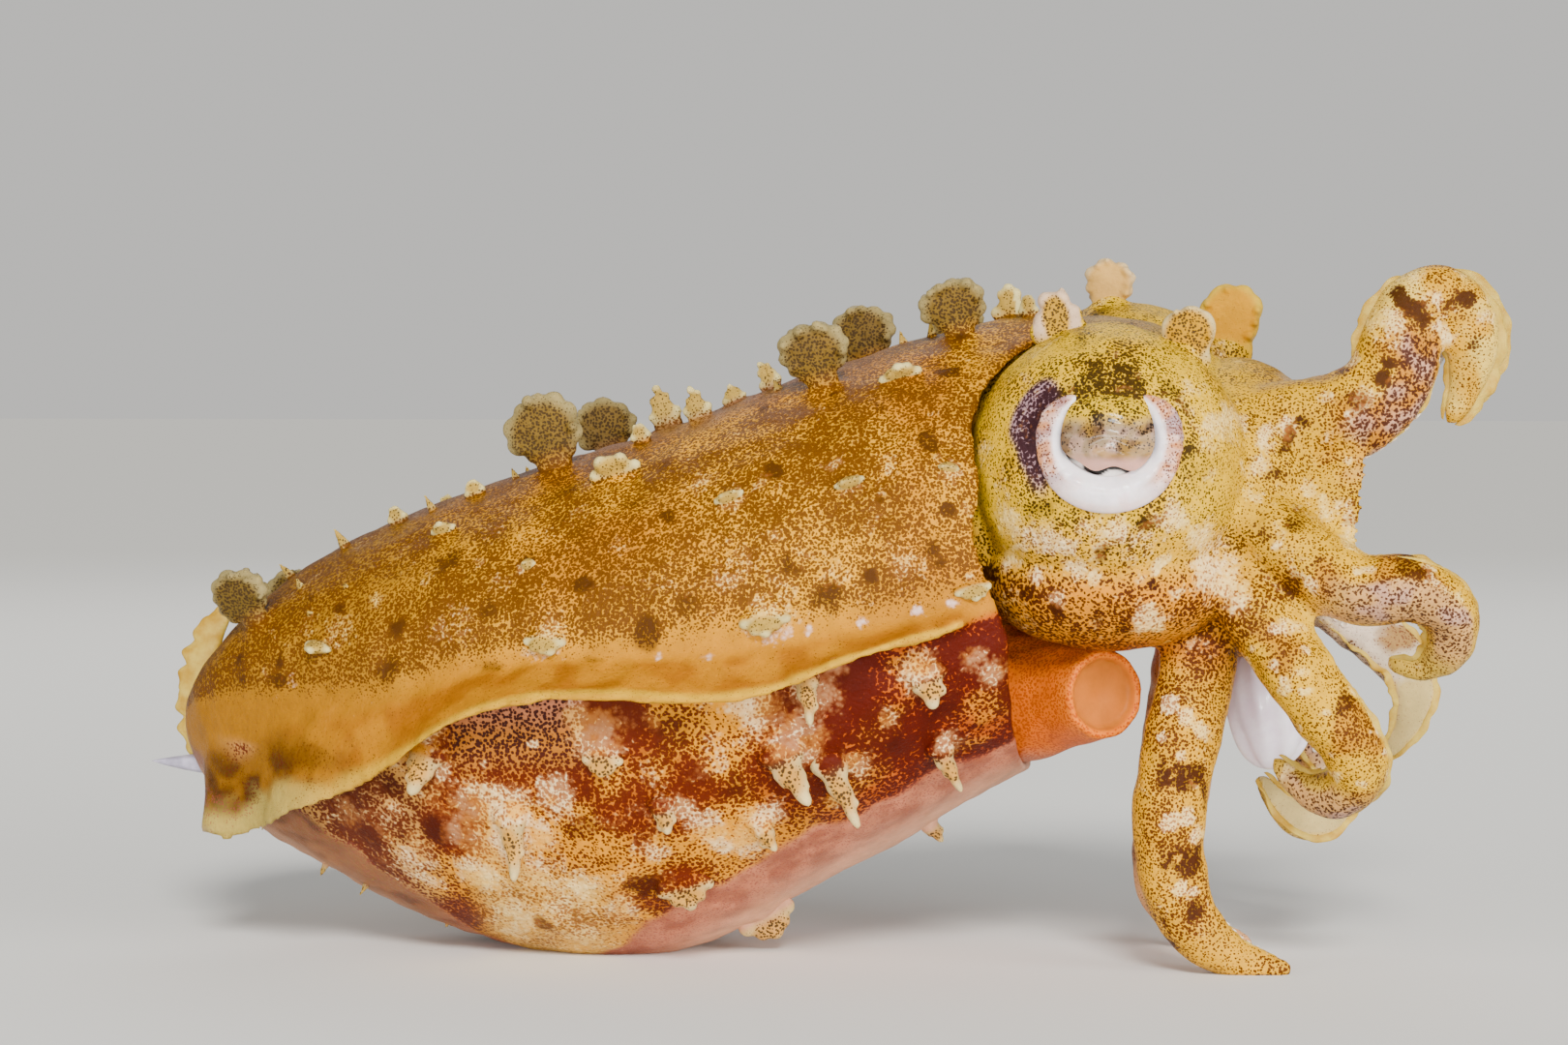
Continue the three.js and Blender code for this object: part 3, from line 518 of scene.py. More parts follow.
def mantle_cup():
    """Body wall, open at the neck, with a rolled lip and a hollow behind it"""

    def rule(share, turn):
        edge = MARGIN(turn)
        out = mantle_point(edge * np.clip(share / OUTSIDE, 0, 1), turn)
        roll = np.clip((share - OUTSIDE) / (LIP - OUTSIDE), 0, 1)
        depth = -WALL * (1 - np.cos(math.pi * roll)) / 2
        lip = mantle_point(edge + 0.005 * np.sin(math.pi * roll), turn, depth)
        back = np.clip((share - LIP) / (LINING - LIP), 0, 1)
        lining = mantle_point(edge + (CAVITY_SHARE - edge) * back, turn, -WALL)
        closing = np.clip((share - LINING) / (1 - LINING), 0, 1)[:, None]
        centre = np.array([mantle_x(CAVITY_SHARE), 0, 19.8])
        floor = mantle_point(CAVITY_SHARE, turn, -WALL) * (1 - closing) + centre * closing
        place = np.where((share < OUTSIDE)[:, None], out, lip)
        place = np.where((share > LIP)[:, None], lining, place)
        return np.where((share > LINING)[:, None], floor, place)

    return form(180, 200, rule)


def fin(table, side):
    """Fin along the side of the mantle, with a frilled edge"""
    width_at, droop_at = course(table, 1), course(table, 2)
    first, last = table[0][0], table[-1][0]
    step = 0.01

    def root_at(along, sink=0.0):
        return mantle_point(along, side * math.pi / 2, sink)

    def rule(share, turn):
        along = first + (last - first) * share
        open_ = np.clip(np.sin(math.pi * share) * 9, 0, 1)
        far = 0.5 - 0.5 * np.cos(turn) * open_
        rear = fall(along, 0.16, 0.26)
        frill = 0.4 * rear * (np.abs(np.sin(along * 48)) - 0.6) * rise(far, 0.6, 1)
        wave = np.radians(5 * np.sin(along * 46 + side) * far)
        width = (width_at(along) + FIN_SINK) * open_**0.5 + frill
        droop = np.radians(droop_at(along)) + wave
        run = root_at(along + step) - root_at(along - step)
        run[:, 2] = 0
        run = unit(run)
        out = np.stack([-run[:, 1], run[:, 0], 0 * along], 1) * side
        across = out * np.cos(droop)[:, None] + np.array([0, 0, -1]) * np.sin(droop)[:, None]
        face = unit(np.cross(run, across))
        thick = FIN_ROOT + (FIN_EDGE - FIN_ROOT) * rise(far, 0, 0.7)
        half = np.sign(np.sin(turn)) * np.abs(np.sin(turn)) ** 0.5 * open_ * thick / 2
        return root_at(along, -FIN_SINK) + across * (width * far)[:, None] + face * half[:, None]

    return form(20, 240, rule)


def tail_edge():
    """Scalloped rear end of the left fin, curled round the tail"""
    line = rail(TAIL_EDGE, (-1, 0, 0), 80)

    def rule(share, turn):
        place, normal, lateral = along_rail(line, share, "place", "normal", "lateral")
        closed = np.sin(math.pi * share) ** 0.4
        far = 0.5 - 0.5 * np.cos(turn)
        scallop = 0.92 + 0.16 * np.abs(np.sin(share * 22 + 0.6)) + 0.05 * np.sin(share * 61)
        reach = (far * 2.3 * scallop - 1.1) * closed
        half = np.sin(turn) * closed * (0.5 - 0.25 * far)
        half = half + 0.1 * np.sin(share * 30) * far
        return place + normal * reach[:, None] + lateral * half[:, None]

    return form(14, 120, rule)


# ---- Rails: curves with a frame carried along them ----

def rail(path, first_normal, steps=160):
    """Places, directions and bends along a smooth curve through a path"""
    p = np.array(path, float)
    p = np.vstack([2 * p[0] - p[1], p, 2 * p[-1] - p[-2]])
    dense = []
    for i in range(1, len(p) - 2):
        p0, p1, p2, p3 = p[i - 1 : i + 3]
        d0, d1, d2 = [math.sqrt(np.linalg.norm(b - a)) for a, b in ((p0, p1), (p1, p2), (p2, p3))]
        t1 = ((p1 - p0) / d0 - (p2 - p0) / (d0 + d1) + (p2 - p1) / d1) * d1
        t2 = ((p2 - p1) / d1 - (p3 - p1) / (d1 + d2) + (p3 - p2) / d2) * d1
        u = np.linspace(0, 1, 60, endpoint=i == len(p) - 3)[:, None]
        cubic, square = 2 * p1 - 2 * p2 + t1 + t2, -3 * p1 + 3 * p2 - 2 * t1 - t2
        dense.append(((cubic * u + square) * u + t1) * u + p1)
    dense = np.vstack(dense)
    run = np.concatenate([[0], np.cumsum(np.linalg.norm(np.diff(dense, axis=0), axis=1))])
    shares = np.linspace(0, 1, steps + 1)
    place = np.stack([np.interp(shares * run[-1], run, dense[:, k]) for k in range(3)], 1)
    tangent = unit(np.gradient(place, axis=0))
    normals = []
    normal = np.array(first_normal, float)
    for t in tangent:
        normal = unit(normal - t * normal.dot(t))
        normals.append(normal)
    normals = np.array(normals)
    low = np.maximum(np.arange(steps + 1) - 4, 0)
    high = np.minimum(np.arange(steps + 1) + 4, steps)
    bend = (tangent[high] - tangent[low]) / ((shares[high] - shares[low]) * run[-1])[:, None]
    return {
        "shares": shares, "place": place, "tangent": tangent, "normal": normals,
        "lateral": np.cross(tangent, normals), "bend": bend, "length": run[-1],
    }


def along_rail(line, share, *keys):
    """Values of a rail at a share of its length"""
    found = []
    for key in keys:
        columns = [np.interp(share, line["shares"], line[key][:, k]) for k in range(3)]
        found.append(np.stack(columns, -1))
    return found


def outward_at(normal, lateral, turn):
    """Direction out of a rail at a turn from its normal"""
    return normal * np.cos(turn)[:, None] + lateral * np.sin(turn)[:, None]


def rod(line, reach, segments, rings, rounded):
    """Rod along a rail, rounded over a share at each end; reach gives its radius for a share and a turn"""

    def rule(share, turn):
        place, normal, lateral, bend = along_rail(line, share, "place", "normal", "lateral", "bend")
        out = outward_at(normal, lateral, turn)
        limit = BEND_SHARE / np.maximum((bend * out).sum(1), 0.001)
        taper = 1.0
        for gone in (share / rounded, (1 - share) / rounded):
            taper = taper * np.sqrt(np.maximum(1 - (1 - np.clip(gone, 0, 1)) ** 2, 0))
        return place + out * (np.minimum(reach(share, turn), limit) * taper)[:, None]

    return form(segments, rings, rule)


def arm_rail(arm):
    """Rail of an arm, its normal towards the axis of the crown"""
    axis = unit(CROWN_AXIS)
    first = np.array(arm[0][1], float)
    centre = np.array(CROWN[0], float)
    inward = centre + axis * (first - centre).dot(axis) - first
    return rail(arm[0], unit(inward))


ARM_RAILS = {name: arm_rail(arm) for name, arm in ARMS.items()}


def arm_radius(arm, share):
    _, width, power, _ = arm
    taper = np.maximum(1 - np.clip(share, 0, 1) ** power, 0) ** 0.62
    taper = taper * (1 - 0.25 * rise(share, 0.75, 0.95))
    return ARM_TIP_RADIUS + (width / 2 - ARM_TIP_RADIUS) * taper


def arm_reach(arm, share, turn):
    section = np.interp(np.degrees(turn) % 360 / 30, np.arange(13), ARM_SECTION + ARM_SECTION[:1])
    fuller = 1 + (arm[3] - 1) * np.maximum(0, np.cos(turn)) * np.maximum(0, 1 - 1.3 * share)
    return arm_radius(arm, share) * section * fuller


def arm(name):
    shape = ARMS[name]

    def reach(share, turn):
        knobs = 1 + 0.035 * np.sin(share * 60 + 2 * turn) * np.sin(2 * turn + share * 21)
        return arm_reach(shape, share, turn) * knobs

    return rod(ARM_RAILS[name], reach, 32, 90, 0.03)


def web(first, second, start, end, depth):
    """Skin stretched between two arms near their roots"""
    one, two = ARM_RAILS[first], ARM_RAILS[second]

    def rule(share, turn):
        along = start + (end - start) * share
        (a,) = along_rail(one, along, "place")
        (b,) = along_rail(two, along, "place")
        tangent = along_rail(one, along, "tangent")[0] + along_rail(two, along, "tangent")[0]
        across = 0.5 + 0.5 * np.cos(turn)
        sag = np.sin(math.pi * across) * depth * (0.3 + share)
        face = unit(np.cross(unit(b - a), unit(tangent)))
        closed = np.sin(math.pi * np.clip(share, 0.02, 0.98)) ** 0.3
        half = 0.45 * np.sin(turn) * closed
        return a + (b - a) * across[:, None] - unit(tangent) * sag[:, None] + face * half[:, None]

    return form(16, 40, rule)


# ---- Head ----

def head_flesh():
    """Forms of the head: core, crown, neck, domes, cheeks, arms, webs and the feet of the papillae"""
    forms = [blob(*HEAD_CORE, around=64, rings=40), blob(*CROWN, around=64, rings=40)]
    forms.append(blob(*NECK, around=48, rings=32))
    for side, _ in SIDES:
        forms.append(blob(*beside_head(EYE_DOME, side), around=72, rings=48))
        forms.append(blob(*beside_head(CHEEK, side), around=48, rings=32))
    forms += [arm(name) for name in ARMS]
    for _, side in SIDES:
        for first, second, start, end, depth in WEBS:
            forms.append(web(f"{first}_{side}", f"{second}_{side}", start, end, depth))
    forms.append(web("1_right", "1_left", 0.05, 0.36, 0.6))
    for at, direction, width, height in HEAD_FANS:
        foot = np.array(at) + np.array(direction) * 0.1
        forms.append(blob(foot, (width * 0.42, 1.0, 1.3), around=20, rings=12))
    return forms


def dome_depth(x, z, side):
    """Distance of the eye dome's surface from the middle plane, at a place seen from the side"""
    (cx, cy, cz), (rx, ry, rz) = beside_head(EYE_DOME, side)
    off = 1 - ((x - cx) / rx) ** 2 - ((z - cz) / rz) ** 2
    return cy * side + ry * np.sqrt(np.maximum(off, 0.05))


def sink_eyes(points):
    """Hollows in the eye domes, under the lids"""
    for side in (RIGHT, LEFT):
        x, z = EYE_CENTRE[0], EYE_CENTRE[1] + eye_rise(side)
        off = np.hypot((points[:, 0] - x) / 3.7, (points[:, 2] - z) / 3.5)
        near = (points[:, 1] * side > 9) & (off < 1)
        depth = 1.5 * (1 - rise(off, 0.7, 1.0)) * rise(z + 2.0 - points[:, 2], 0, 1.4)
        points[near, 1] -= side * depth[near]
    return points


# ---- Papillae ----

def skin_axes(row):
    share, degrees, width, height, turn, lean = row
    point, forward, normal, down = mantle_frame(share, math.radians(degrees))
    turned, leant = math.radians(turn), math.radians(lean)
    across = forward * math.cos(turned) + down * math.sin(turned)
    side = down * math.cos(turned) - forward * math.sin(turned)
    up = normal * math.cos(leant) + side * math.sin(leant)
    return point, across, unit(np.cross(across, up)), up, width, height


def head_axes(row):
    at, direction, width, height = row
    up = unit(direction)
    across = unit(np.cross((0, 1, 0), up))
    return np.array(at, float), across, unit(np.cross(across, up)), up, width, height


def fan(axes, luck, lobes=10, notch=0.17, stalk=0.22):
    """Leafy papilla: a stalk and a flat leaf with a lobed, lumpy rim"""
    point, across, through, up, width, height = axes
    basis = (across, through, up)
    thick = 0.09 * width + 0.22
    shift = luck.uniform(0, 2 * math.pi)

    def rule(share, turn):
        polar = math.pi * share
        flat = np.sin(polar) ** 0.7
        shade = np.cos(lobes * turn / 2 + shift + 0.5 * np.sin(2 * turn + shift))
        outline = 1 - notch + notch * np.abs(shade) ** 0.6 + 0.05 * np.sin(3 * turn + shift)
        lump = 1 + 0.3 * np.sin(5 * turn + 9 * share + shift) * flat**4
        side = np.cos(polar) * thick * lump
        wide = np.sin(turn) * flat * outline * width / 2
        tall = height * 0.54 + np.cos(turn) * flat * outline * height * 0.46
        return point + across * wide[:, None] + up * tall[:, None] + through * side[:, None]

    forms = [
        blob(point + up * height * 0.1, (width * stalk, thick * 1.1, height * 0.42), basis),
        form(72, 16, rule),
    ]
    for i in range(lobes + 3):
        turn = math.radians(-120 + 240 * i / (lobes + 2) + luck.uniform(-8, 8))
        reach = luck.uniform(0.68, 0.86)
        size = width * luck.uniform(0.05, 0.085)
        off = across * math.sin(turn) * width / 2 * reach
        off = off + up * (height * 0.54 + math.cos(turn) * height * 0.46 * reach)
        off = off + through * luck.choice((-1, 1)) * thick * 0.8
        forms.append(blob(point + off, (size, size, size), basis, 12, 8))
    return forms


def crest(axes, luck):
    """Low papilla: a ridge of lumps"""
    point, across, through, up, width, height = axes
    basis = (across, through, up)
    forms = [blob(point, (width * 0.42, 0.42, height * 0.7), basis)]
    lumps = 5
    for i in range(lumps):
        off = (i / (lumps - 1) - 0.5) * 2
        tall = height * (1 - 0.55 * off * off) * luck.uniform(0.8, 1.05)
        size = width * luck.uniform(0.11, 0.16)
        place = point + across * off * (width / 2 - size) + up * (tall - size)
        forms.append(blob(place, (size, size * 0.85, size * 1.1), basis, 14, 9))
    return forms


def spike(axes, luck):
    """Pointed papilla, a little bent, with a knob or two at its foot"""
    point, across, through, up, width, height = axes
    lean = across * luck.uniform(-0.25, 0.25) + through * luck.uniform(-0.2, 0.2)

    def rule(share, turn):
        tall = (share * (height + 0.6)) - 0.6
        wide = width * 0.5 * (1 - 0.72 * rise(share, 0, 1)) * np.sqrt(np.maximum(1 - share**6, 0))
        wide = wide * np.clip(share * 12, 0, 1)
        spread = np.cos(turn)[:, None] * across + 0.75 * np.sin(turn)[:, None] * through
        bent = up * tall[:, None] + lean * (share**2 * height)[:, None]
        return point + bent + spread * wide[:, None]

    forms = [form(14, 12, rule)]
    if width > 1:
        for tall, spread, size in ((0.2, 0.36, 0.24), (0.52, 0.26, 0.2), (0.8, 0.14, 0.17)):
            for side in (-1, 1):
                place = point + across * side * width * spread * luck.uniform(0.8, 1.1)
                place = place + up * height * (tall + luck.uniform(-0.07, 0.07))
                radii = (width * size, width * size * 0.9, width * size)
                forms.append(blob(place, radii, (across, through, up), 12, 8))
    return forms


def flap(axes, luck):
    """Fleshy finger along the flank, broad at its root, its blunt tip a little off the skin"""
    point, across, through, up, width, height = axes
    if np.dot(through, point - np.array([point[0], 0, 18.0])) < 0:
        through = -through
    bow = luck.uniform(-0.15, 0.15) * width

    def rule(share, turn):
        tall = share * (height * 1.15 + 1.0) - 1.0
        end = np.sqrt(np.maximum(1 - share**7, 0)) * np.clip(share * 8, 0, 1)
        wide = width * (0.66 - 0.42 * rise(share, 0.1, 0.85)) * end
        notches = np.sin(share * 19 + 2 * np.sign(np.cos(turn))) * np.sin(share * math.pi)
        wide = wide * (1 + 0.16 * notches)
        thick = (0.75 - 0.25 * share) * end
        level = np.clip(tall / height, 0, 1.2)
        spread = across * (np.cos(turn) * wide + bow * level**2)[:, None]
        spread = spread + through * (np.sin(turn) * thick + 0.24 * height * level**2)[:, None]
        return point + up * tall[:, None] + spread

    forms = [form(24, 28, rule)]
    for side in (-1, 1):
        size = 0.1 * width + 0.1
        tall = height * luck.uniform(0.4, 0.75)
        place = point + up * tall + across * side * width * luck.uniform(0.2, 0.3)
        place = place + through * (0.24 * height * (tall / height) ** 2 + 0.05)
        forms.append(blob(place, (size, size * 0.8, size * 1.3), (across, through, up), 14, 9))
    return forms


# ---- Paint ----

GOLD, DEEP_GOLD, OCHRE, GOLD_DOT = tint("d29200"), tint("b46c00"), tint("90640a"), tint("583006")
AMBER, DARK_AMBER, FIN_BROWN, FIN_UMBER = tint("ae7000"), tint("965800"), tint("764c04"), tint(
    "3a1e04"
)
PALE_YELLOW, CREAM, CHALK, LILAC = tint("e0b420"), tint("e8c460"), tint("eed8c0"), tint("d9b4cc")
RED_DOT, DEEP_RED, DEEP_DOT = tint("501404"), tint("a43a04"), tint("440a04")
PINK, PURPLE_DOT, MAUVE = tint("b5714e"), tint("26090f"), tint("765850")
BELLY, BELLY_PALE, BELLY_TAN, BELLY_STREAK = tint("ba7252"), tint("dba684"), tint("7e5630"), tint(
    "53301c"
)
HEAD_YELLOW, OLIVE, HEAD_DOT = tint("d4a600"), tint("c8a400"), tint("2c1a08")
CHEEK_ORANGE, CHEEK_DOT = tint("cc8000"), tint("3c1206")
CROWN_YELLOW, ARM_YELLOW, ARM_TAN, ARM_DOT = tint("c69400"), tint("d29e00"), tint("b87c04"), tint(
    "4a2206"
)
ORAL, LEG_PINK = tint("dcc0a4"), tint("d89c70")
FUNNEL_ORANGE, FUNNEL_DOT, PEACH = tint("e06e00"), tint("a84400"), tint("b4641c")

# Dark marks on the back: share, degrees from the top, size, strength
BACK_DARK = [
    (0.38, 52, 1.0, 0.7), (0.348, 72, 0.8, 0.9), (0.416, 72, 1.0, 0.7), (0.344, 88, 1.2, 0.7),
    (0.244, 78, 0.6, 1), (0.244, 90, 0.7, 1), (0.48, 68, 0.65, 1.1), (0.44, 58, 0.9, 0.7),
    (0.52, 84, 1.0, 1.1), (0.424, 90, 0.8, 0.7), (0.484, 90, 0.7, 0.8), (0.532, 54, 0.6, 0.9),
    (0.568, 62, 0.65, 0.9), (0.596, 50, 0.65, 1.2), (0.612, 74, 0.7, 0.9), (0.628, 30, 0.5, 0.9),
    (0.672, 64, 0.5, 1), (0.664, 78, 0.5, 1), (0.704, 52, 0.75, 1.2), (0.716, 32, 0.8, 1),
    (0.724, 70, 0.5, 1.2), (0.712, 76, 0.7, 0.8), (0.548, 78, 1.1, 0.6), (0.636, 82, 1.3, 0.9),
    (0.72, 80, 0.6, 0.8), (0.764, 86, 0.5, 1), (0.58, 26, 0.7, 0.8), (0.716, 18, 0.6, 0.8),
    (0.3, 60, 0.8, 0.7), (0.27, 50, 0.6, 0.6), (0.19, 74, 0.6, 0.8), (0.2, 86, 0.6, 0.7),
    (0.46, 34, 0.9, 0.5), (0.52, 36, 0.8, 0.5), (0.66, 40, 0.6, 0.6), (0.5, 47, 0.9, 0.5),
]
# Pale marks on the back
BACK_PALE = [
    (0.468, 46, 0.9, 0.7), (0.436, 60, 0.6, 0.9), (0.544, 46, 1.1, 0.7), (0.568, 54, 1.0, 0.8),
    (0.636, 52, 1.0, 0.7), (0.648, 58, 0.9, 0.7), (0.676, 56, 1.0, 0.7), (0.672, 62, 0.8, 0.6),
    (0.58, 70, 1.5, 0.6), (0.64, 78, 1.3, 0.7), (0.692, 78, 1.6, 0.7), (0.568, 74, 1.3, 0.7),
    (0.392, 76, 1.8, 0.55), (0.3, 70, 1.6, 0.6), (0.33, 62, 0.9, 0.6), (0.62, 34, 1.2, 0.5),
    (0.52, 72, 1.1, 0.5), (0.5, 60, 0.9, 0.5), (0.456, 82, 1.4, 0.9), (0.596, 84, 1.7, 0.9),
    (0.76, 82, 1.2, 0.8), (0.72, 60, 0.9, 0.8), (0.7, 46, 0.7, 0.5), (0.355, 50, 0.9, 0.5),
    (0.27, 66, 1.2, 0.5), (0.41, 44, 1.2, 0.5), (0.74, 70, 0.8, 0.7), (0.66, 84, 0.9, 0.6),
]
# Brown patches and dark spots on the flank
FLANK_DARK = [
    (0.322, 130, 1.4, 0.6), (0.374, 124, 1.5, 0.8), (0.344, 114, 1.3, 0.8), (0.3, 119, 0.9, 0.6),
    (0.51, 136, 1.0, 1.2), (0.438, 148, 0.7, 1.3), (0.618, 143, 0.8, 1), (0.54, 104, 2.4, 0.55),
    (0.474, 121, 1.3, 0.6), (0.55, 112, 1.5, 0.4), (0.66, 104, 1.3, 0.5), (0.68, 122, 1.3, 0.5),
    (0.72, 116, 1.3, 0.5), (0.745, 128, 1.1, 0.5), (0.49, 128, 1.1, 0.5), (0.51, 118, 1.4, 0.3),
    (0.57, 118, 1.0, 0.6), (0.35, 127, 0.8, 0.5), (0.48, 112, 0.8, 0.4),
]
# Pale marks on the flank
FLANK_PALE = [
    (0.342, 103, 1.4, 0.8), (0.368, 102, 1.7, 1), (0.38, 109, 1.1, 1), (0.488, 103, 1.8, 1.1),
    (0.475, 99, 1.2, 1), (0.412, 107, 0.35, 1.4), (0.444, 104, 0.35, 1.4), (0.405, 117, 1.8, 1),
    (0.43, 117, 1.8, 1), (0.458, 113, 1.3, 1), (0.42, 126, 2.2, 1), (0.447, 122, 1.5, 0.8),
    (0.396, 124, 1.6, 0.9), (0.4, 134, 2.0, 0.9), (0.44, 131, 2.0, 0.8), (0.47, 134, 1.6, 0.8),
    (0.42, 145, 2.4, 0.75), (0.455, 141, 2.0, 0.75), (0.49, 141, 1.4, 0.8), (0.465, 151, 1.8, 0.7),
    (0.41, 154, 2.0, 0.7), (0.536, 119, 1.1, 1), (0.55, 125, 1.3, 0.9), (0.588, 129, 1.6, 0.9),
    (0.575, 134, 1.4, 0.9), (0.59, 103, 2.0, 1), (0.615, 112, 1.9, 1), (0.628, 102, 1.7, 0.9),
    (0.645, 97, 1.0, 0.8), (0.7, 105, 1.4, 0.9), (0.76, 112, 1.1, 1), (0.742, 104, 0.9, 0.8),
    (0.72, 129, 1.1, 0.9), (0.652, 123, 1.2, 0.9), (0.636, 131, 1.0, 0.8), (0.56, 130, 1.0, 0.8),
    (0.52, 128, 0.9, 0.7), (0.675, 113, 0.7, 0.7), (0.34, 121, 1.0, 0.7), (0.31, 113, 1.3, 0.7),
    (0.355, 133, 1.5, 0.7), (0.3, 126, 1.3, 0.7), (0.525, 101, 0.8, 0.6), (0.33, 138, 1.2, 0.5),
]
# Share, degrees from the top where the belly begins
BELLY_EDGE = [
    (0.24, 128), (0.28, 136), (0.33, 142), (0.36, 150), (0.39, 164), (0.43, 172), (0.47, 162),
    (0.5, 150), (0.53, 145), (0.56, 140), (0.62, 139), (0.7, 136), (0.77, 142),
]

# Small lilac dots along the base of the fin: share, degrees
LILAC_DOTS = [
    (0.46, 92), (0.51, 92), (0.53, 90), (0.56, 91), (0.575, 93), (0.625, 88), (0.7, 88),
    (0.725, 88), (0.74, 84), (0.49, 95), (0.545, 95), (0.6, 92), (0.66, 88), (0.42, 96),
]


def both_sides(marks):
    """Marks of the right side, and others like them on the left"""
    right = [(row[0], -row[1], *row[2:]) for row in marks]
    left = []
    for i, (share, degrees, *rest) in enumerate(marks):
        left.append((share + 0.014 * math.sin(3 * i), degrees + 4 * math.cos(5 * i), *rest))
    return right + left


def near_marks(points, marks):
    """Strength of the nearest mark at each point"""
    level = np.zeros(len(points))
    for share, degrees, size, strength in both_sides(marks):
        centre = mantle_point(share, math.radians(degrees))
        off = ((points - centre) ** 2).sum(1) / size**2
        level = np.maximum(level, strength * np.exp(-(off**1.3)))
    return level


def ragged(points, reach, size, seed):
    """Points shifted at random, so that marks get uneven edges"""
    shift = np.stack([grain(points, size, seed + k, 2) for k in range(3)], 1) - 0.5
    return points + reach * shift


def paint_mantle(points):
    """Gold back, cream and red flank, pink belly, and the fins"""
    share, degrees, height = on_mantle(points)
    a = np.abs(degrees)
    big, mid, small = grain(points, 7, 1, 2), grain(points, 2.4, 2, 2), grain(points, 1.0, 3)
    tailward = fall(share, 0.33, 0.42)
    under = rise(a - 16 * tailward, 92, 95) * rise(share, 0.14, 0.2)

    ridge = fall(a + 22 * (mid - 0.5), 6, 25) * rise(share, 0.12, 0.3) * fall(share, 0.56, 0.74)
    low = rise(a - 7 * tailward, 80, 91) * rise(share, 0.02, 0.06)
    back = coats(
        GOLD,
        (DEEP_GOLD, 0.75 * rise(big, 0.35, 0.7)),
        (OCHRE, 0.45 * rise(mid, 0.5, 0.85)),
        (OCHRE, 0.88 * fall(share, 0.3, 0.46)),
        (MAUVE, 0.72 * ridge),
        (AMBER, 0.9 * low),
        (FIN_BROWN, 0.5 * low * fall(share, 0.25, 0.42)),
    )
    back_amount = 0.62 + 0.24 * (mid - 0.5) + 0.08 * rise(small, 0.4, 0.9)
    back_amount = back_amount * (1 - 0.2 * ridge) * (1 - 0.85 * low)

    blush = grain(points, 3.4, 5, 2)
    front, rear = rise(share, 0.56, 0.67), fall(share, 0.35, 0.385)
    bottom = rise(a, 128, 136) * rise(share, 0.38, 0.41) * fall(share, 0.47, 0.51)
    dotted = rise(share, 0.383, 0.395) * fall(share, 0.472, 0.485)
    dotted = dotted * fall(a + 5 * (mid - 0.5), 107, 112)
    flank = coats(
        mix("d08800", "a45204", rise(blush, 0.3, 0.6)),
        (DEEP_RED, front * (0.25 + 0.6 * rise(mid, 0.3, 0.6))),
        ("b58a50", 0.6 * rear),
        ("cf9a3c", 0.8 * bottom),
        (mix(PINK, "a8641a", rise(a, 96, 103)), dotted),
    )
    flank_amount = 0.63 + 0.5 * (blush - 0.47) + 0.06 * front - 0.16 * bottom - 0.04 * rear
    flank_amount = blend(flank_amount, 0.56 + 0.004 * (a - 98), dotted)

    over = a - np.interp(share, *zip(*BELLY_EDGE)) - 6 * (mid - 0.5)
    belly, pale = rise(over, -1.5, 2), rise(over, 8, 30)
    tail = fall(share, 0.34, 0.42)
    streaks = rise(grain(points * np.array([0.3, 1, 1]), 0.9, 9, 2), 0.45, 0.75)
    skin = coats(
        BELLY,
        ("8c4a34", 0.75 * rise(grain(points, 1.3, 8, 3), 0.4, 0.75)),
        (BELLY_PALE, 0.8 * pale),
        (BELLY_TAN, 0.85 * tail * (1 - 0.4 * pale)),
        (BELLY_STREAK, 0.7 * streaks * tail * (1 - pale)),
    )
    tone = coats(
        GOLD_DOT,
        (RED_DOT, under),
        (DEEP_DOT, front * under),
        ("8a5a18", 0.6 * bottom),
        (PURPLE_DOT, dotted * under * fall(a, 102, 112)),
        ("8a4436", belly),
    )
    amount = blend(blend(back_amount, flank_amount, under), 0.36 - 0.28 * pale, belly)

    noisy = ragged(points, 1.0, 1.5, 11)
    dark = blend(near_marks(noisy, BACK_DARK), near_marks(noisy, FLANK_DARK), under) * (1 - belly)
    white = blend(0.85 * near_marks(noisy, BACK_PALE), 1.15 * near_marks(noisy, FLANK_PALE), under)
    stray = rise(grain(points, 1.5, 21, 2), 0.66, 0.84) * (0.42 - 0.2 * rise(big, 0.3, 0.7))
    white = np.maximum(white, stray * (1 - ridge) * (1 - low) * (1 - under))
    loose = 0.45 * rise(grain(points, 1.6, 22, 2), 0.55, 0.8) + 0.25 * rear
    white = np.maximum(white, loose * under * (1 - dotted) * (1 - 0.6 * front))
    white = np.maximum(white, 0.5 * bottom)
    white = white * (1 - 0.9 * belly) * rise(share, 0.08, 0.16)
    for place, turn in [(s, -d) for s, d in LILAC_DOTS] + LILAC_DOTS:
        off = ((points - mantle_point(place, math.radians(turn))) ** 2).sum(1)
        white = np.maximum(white, 1.2 * np.exp(-off / 0.12))
    cream = coats(
        CREAM,
        (CHALK, 0.4 * mid),
        (CHALK, 0.35 * under),
        ("dc9c20", 0.8 * under * rise(grain(points, 1.1, 6, 2), 0.42, 0.65)),
        (LILAC, 0.6 * rise(a, 84, 88) * fall(a, 95, 98)),
        ("f0d47c", 0.5 * bottom),
    )
    paint = {
        "ground": mix(mix(back, flank, under), skin, belly), "tone": tone, "pale": cream,
        "white": white, "dark": dark, "amount": amount,
        "coarse": under * (0.75 + 0.25 * dotted) * (1 - belly), "worm": 0.5 * (1 - under),
    }
    for table, side in ((FIN_RIGHT, RIGHT), (FIN_LEFT, LEFT)):
        paint = paint_fin(paint, points, share, height, table, side)
    return paint


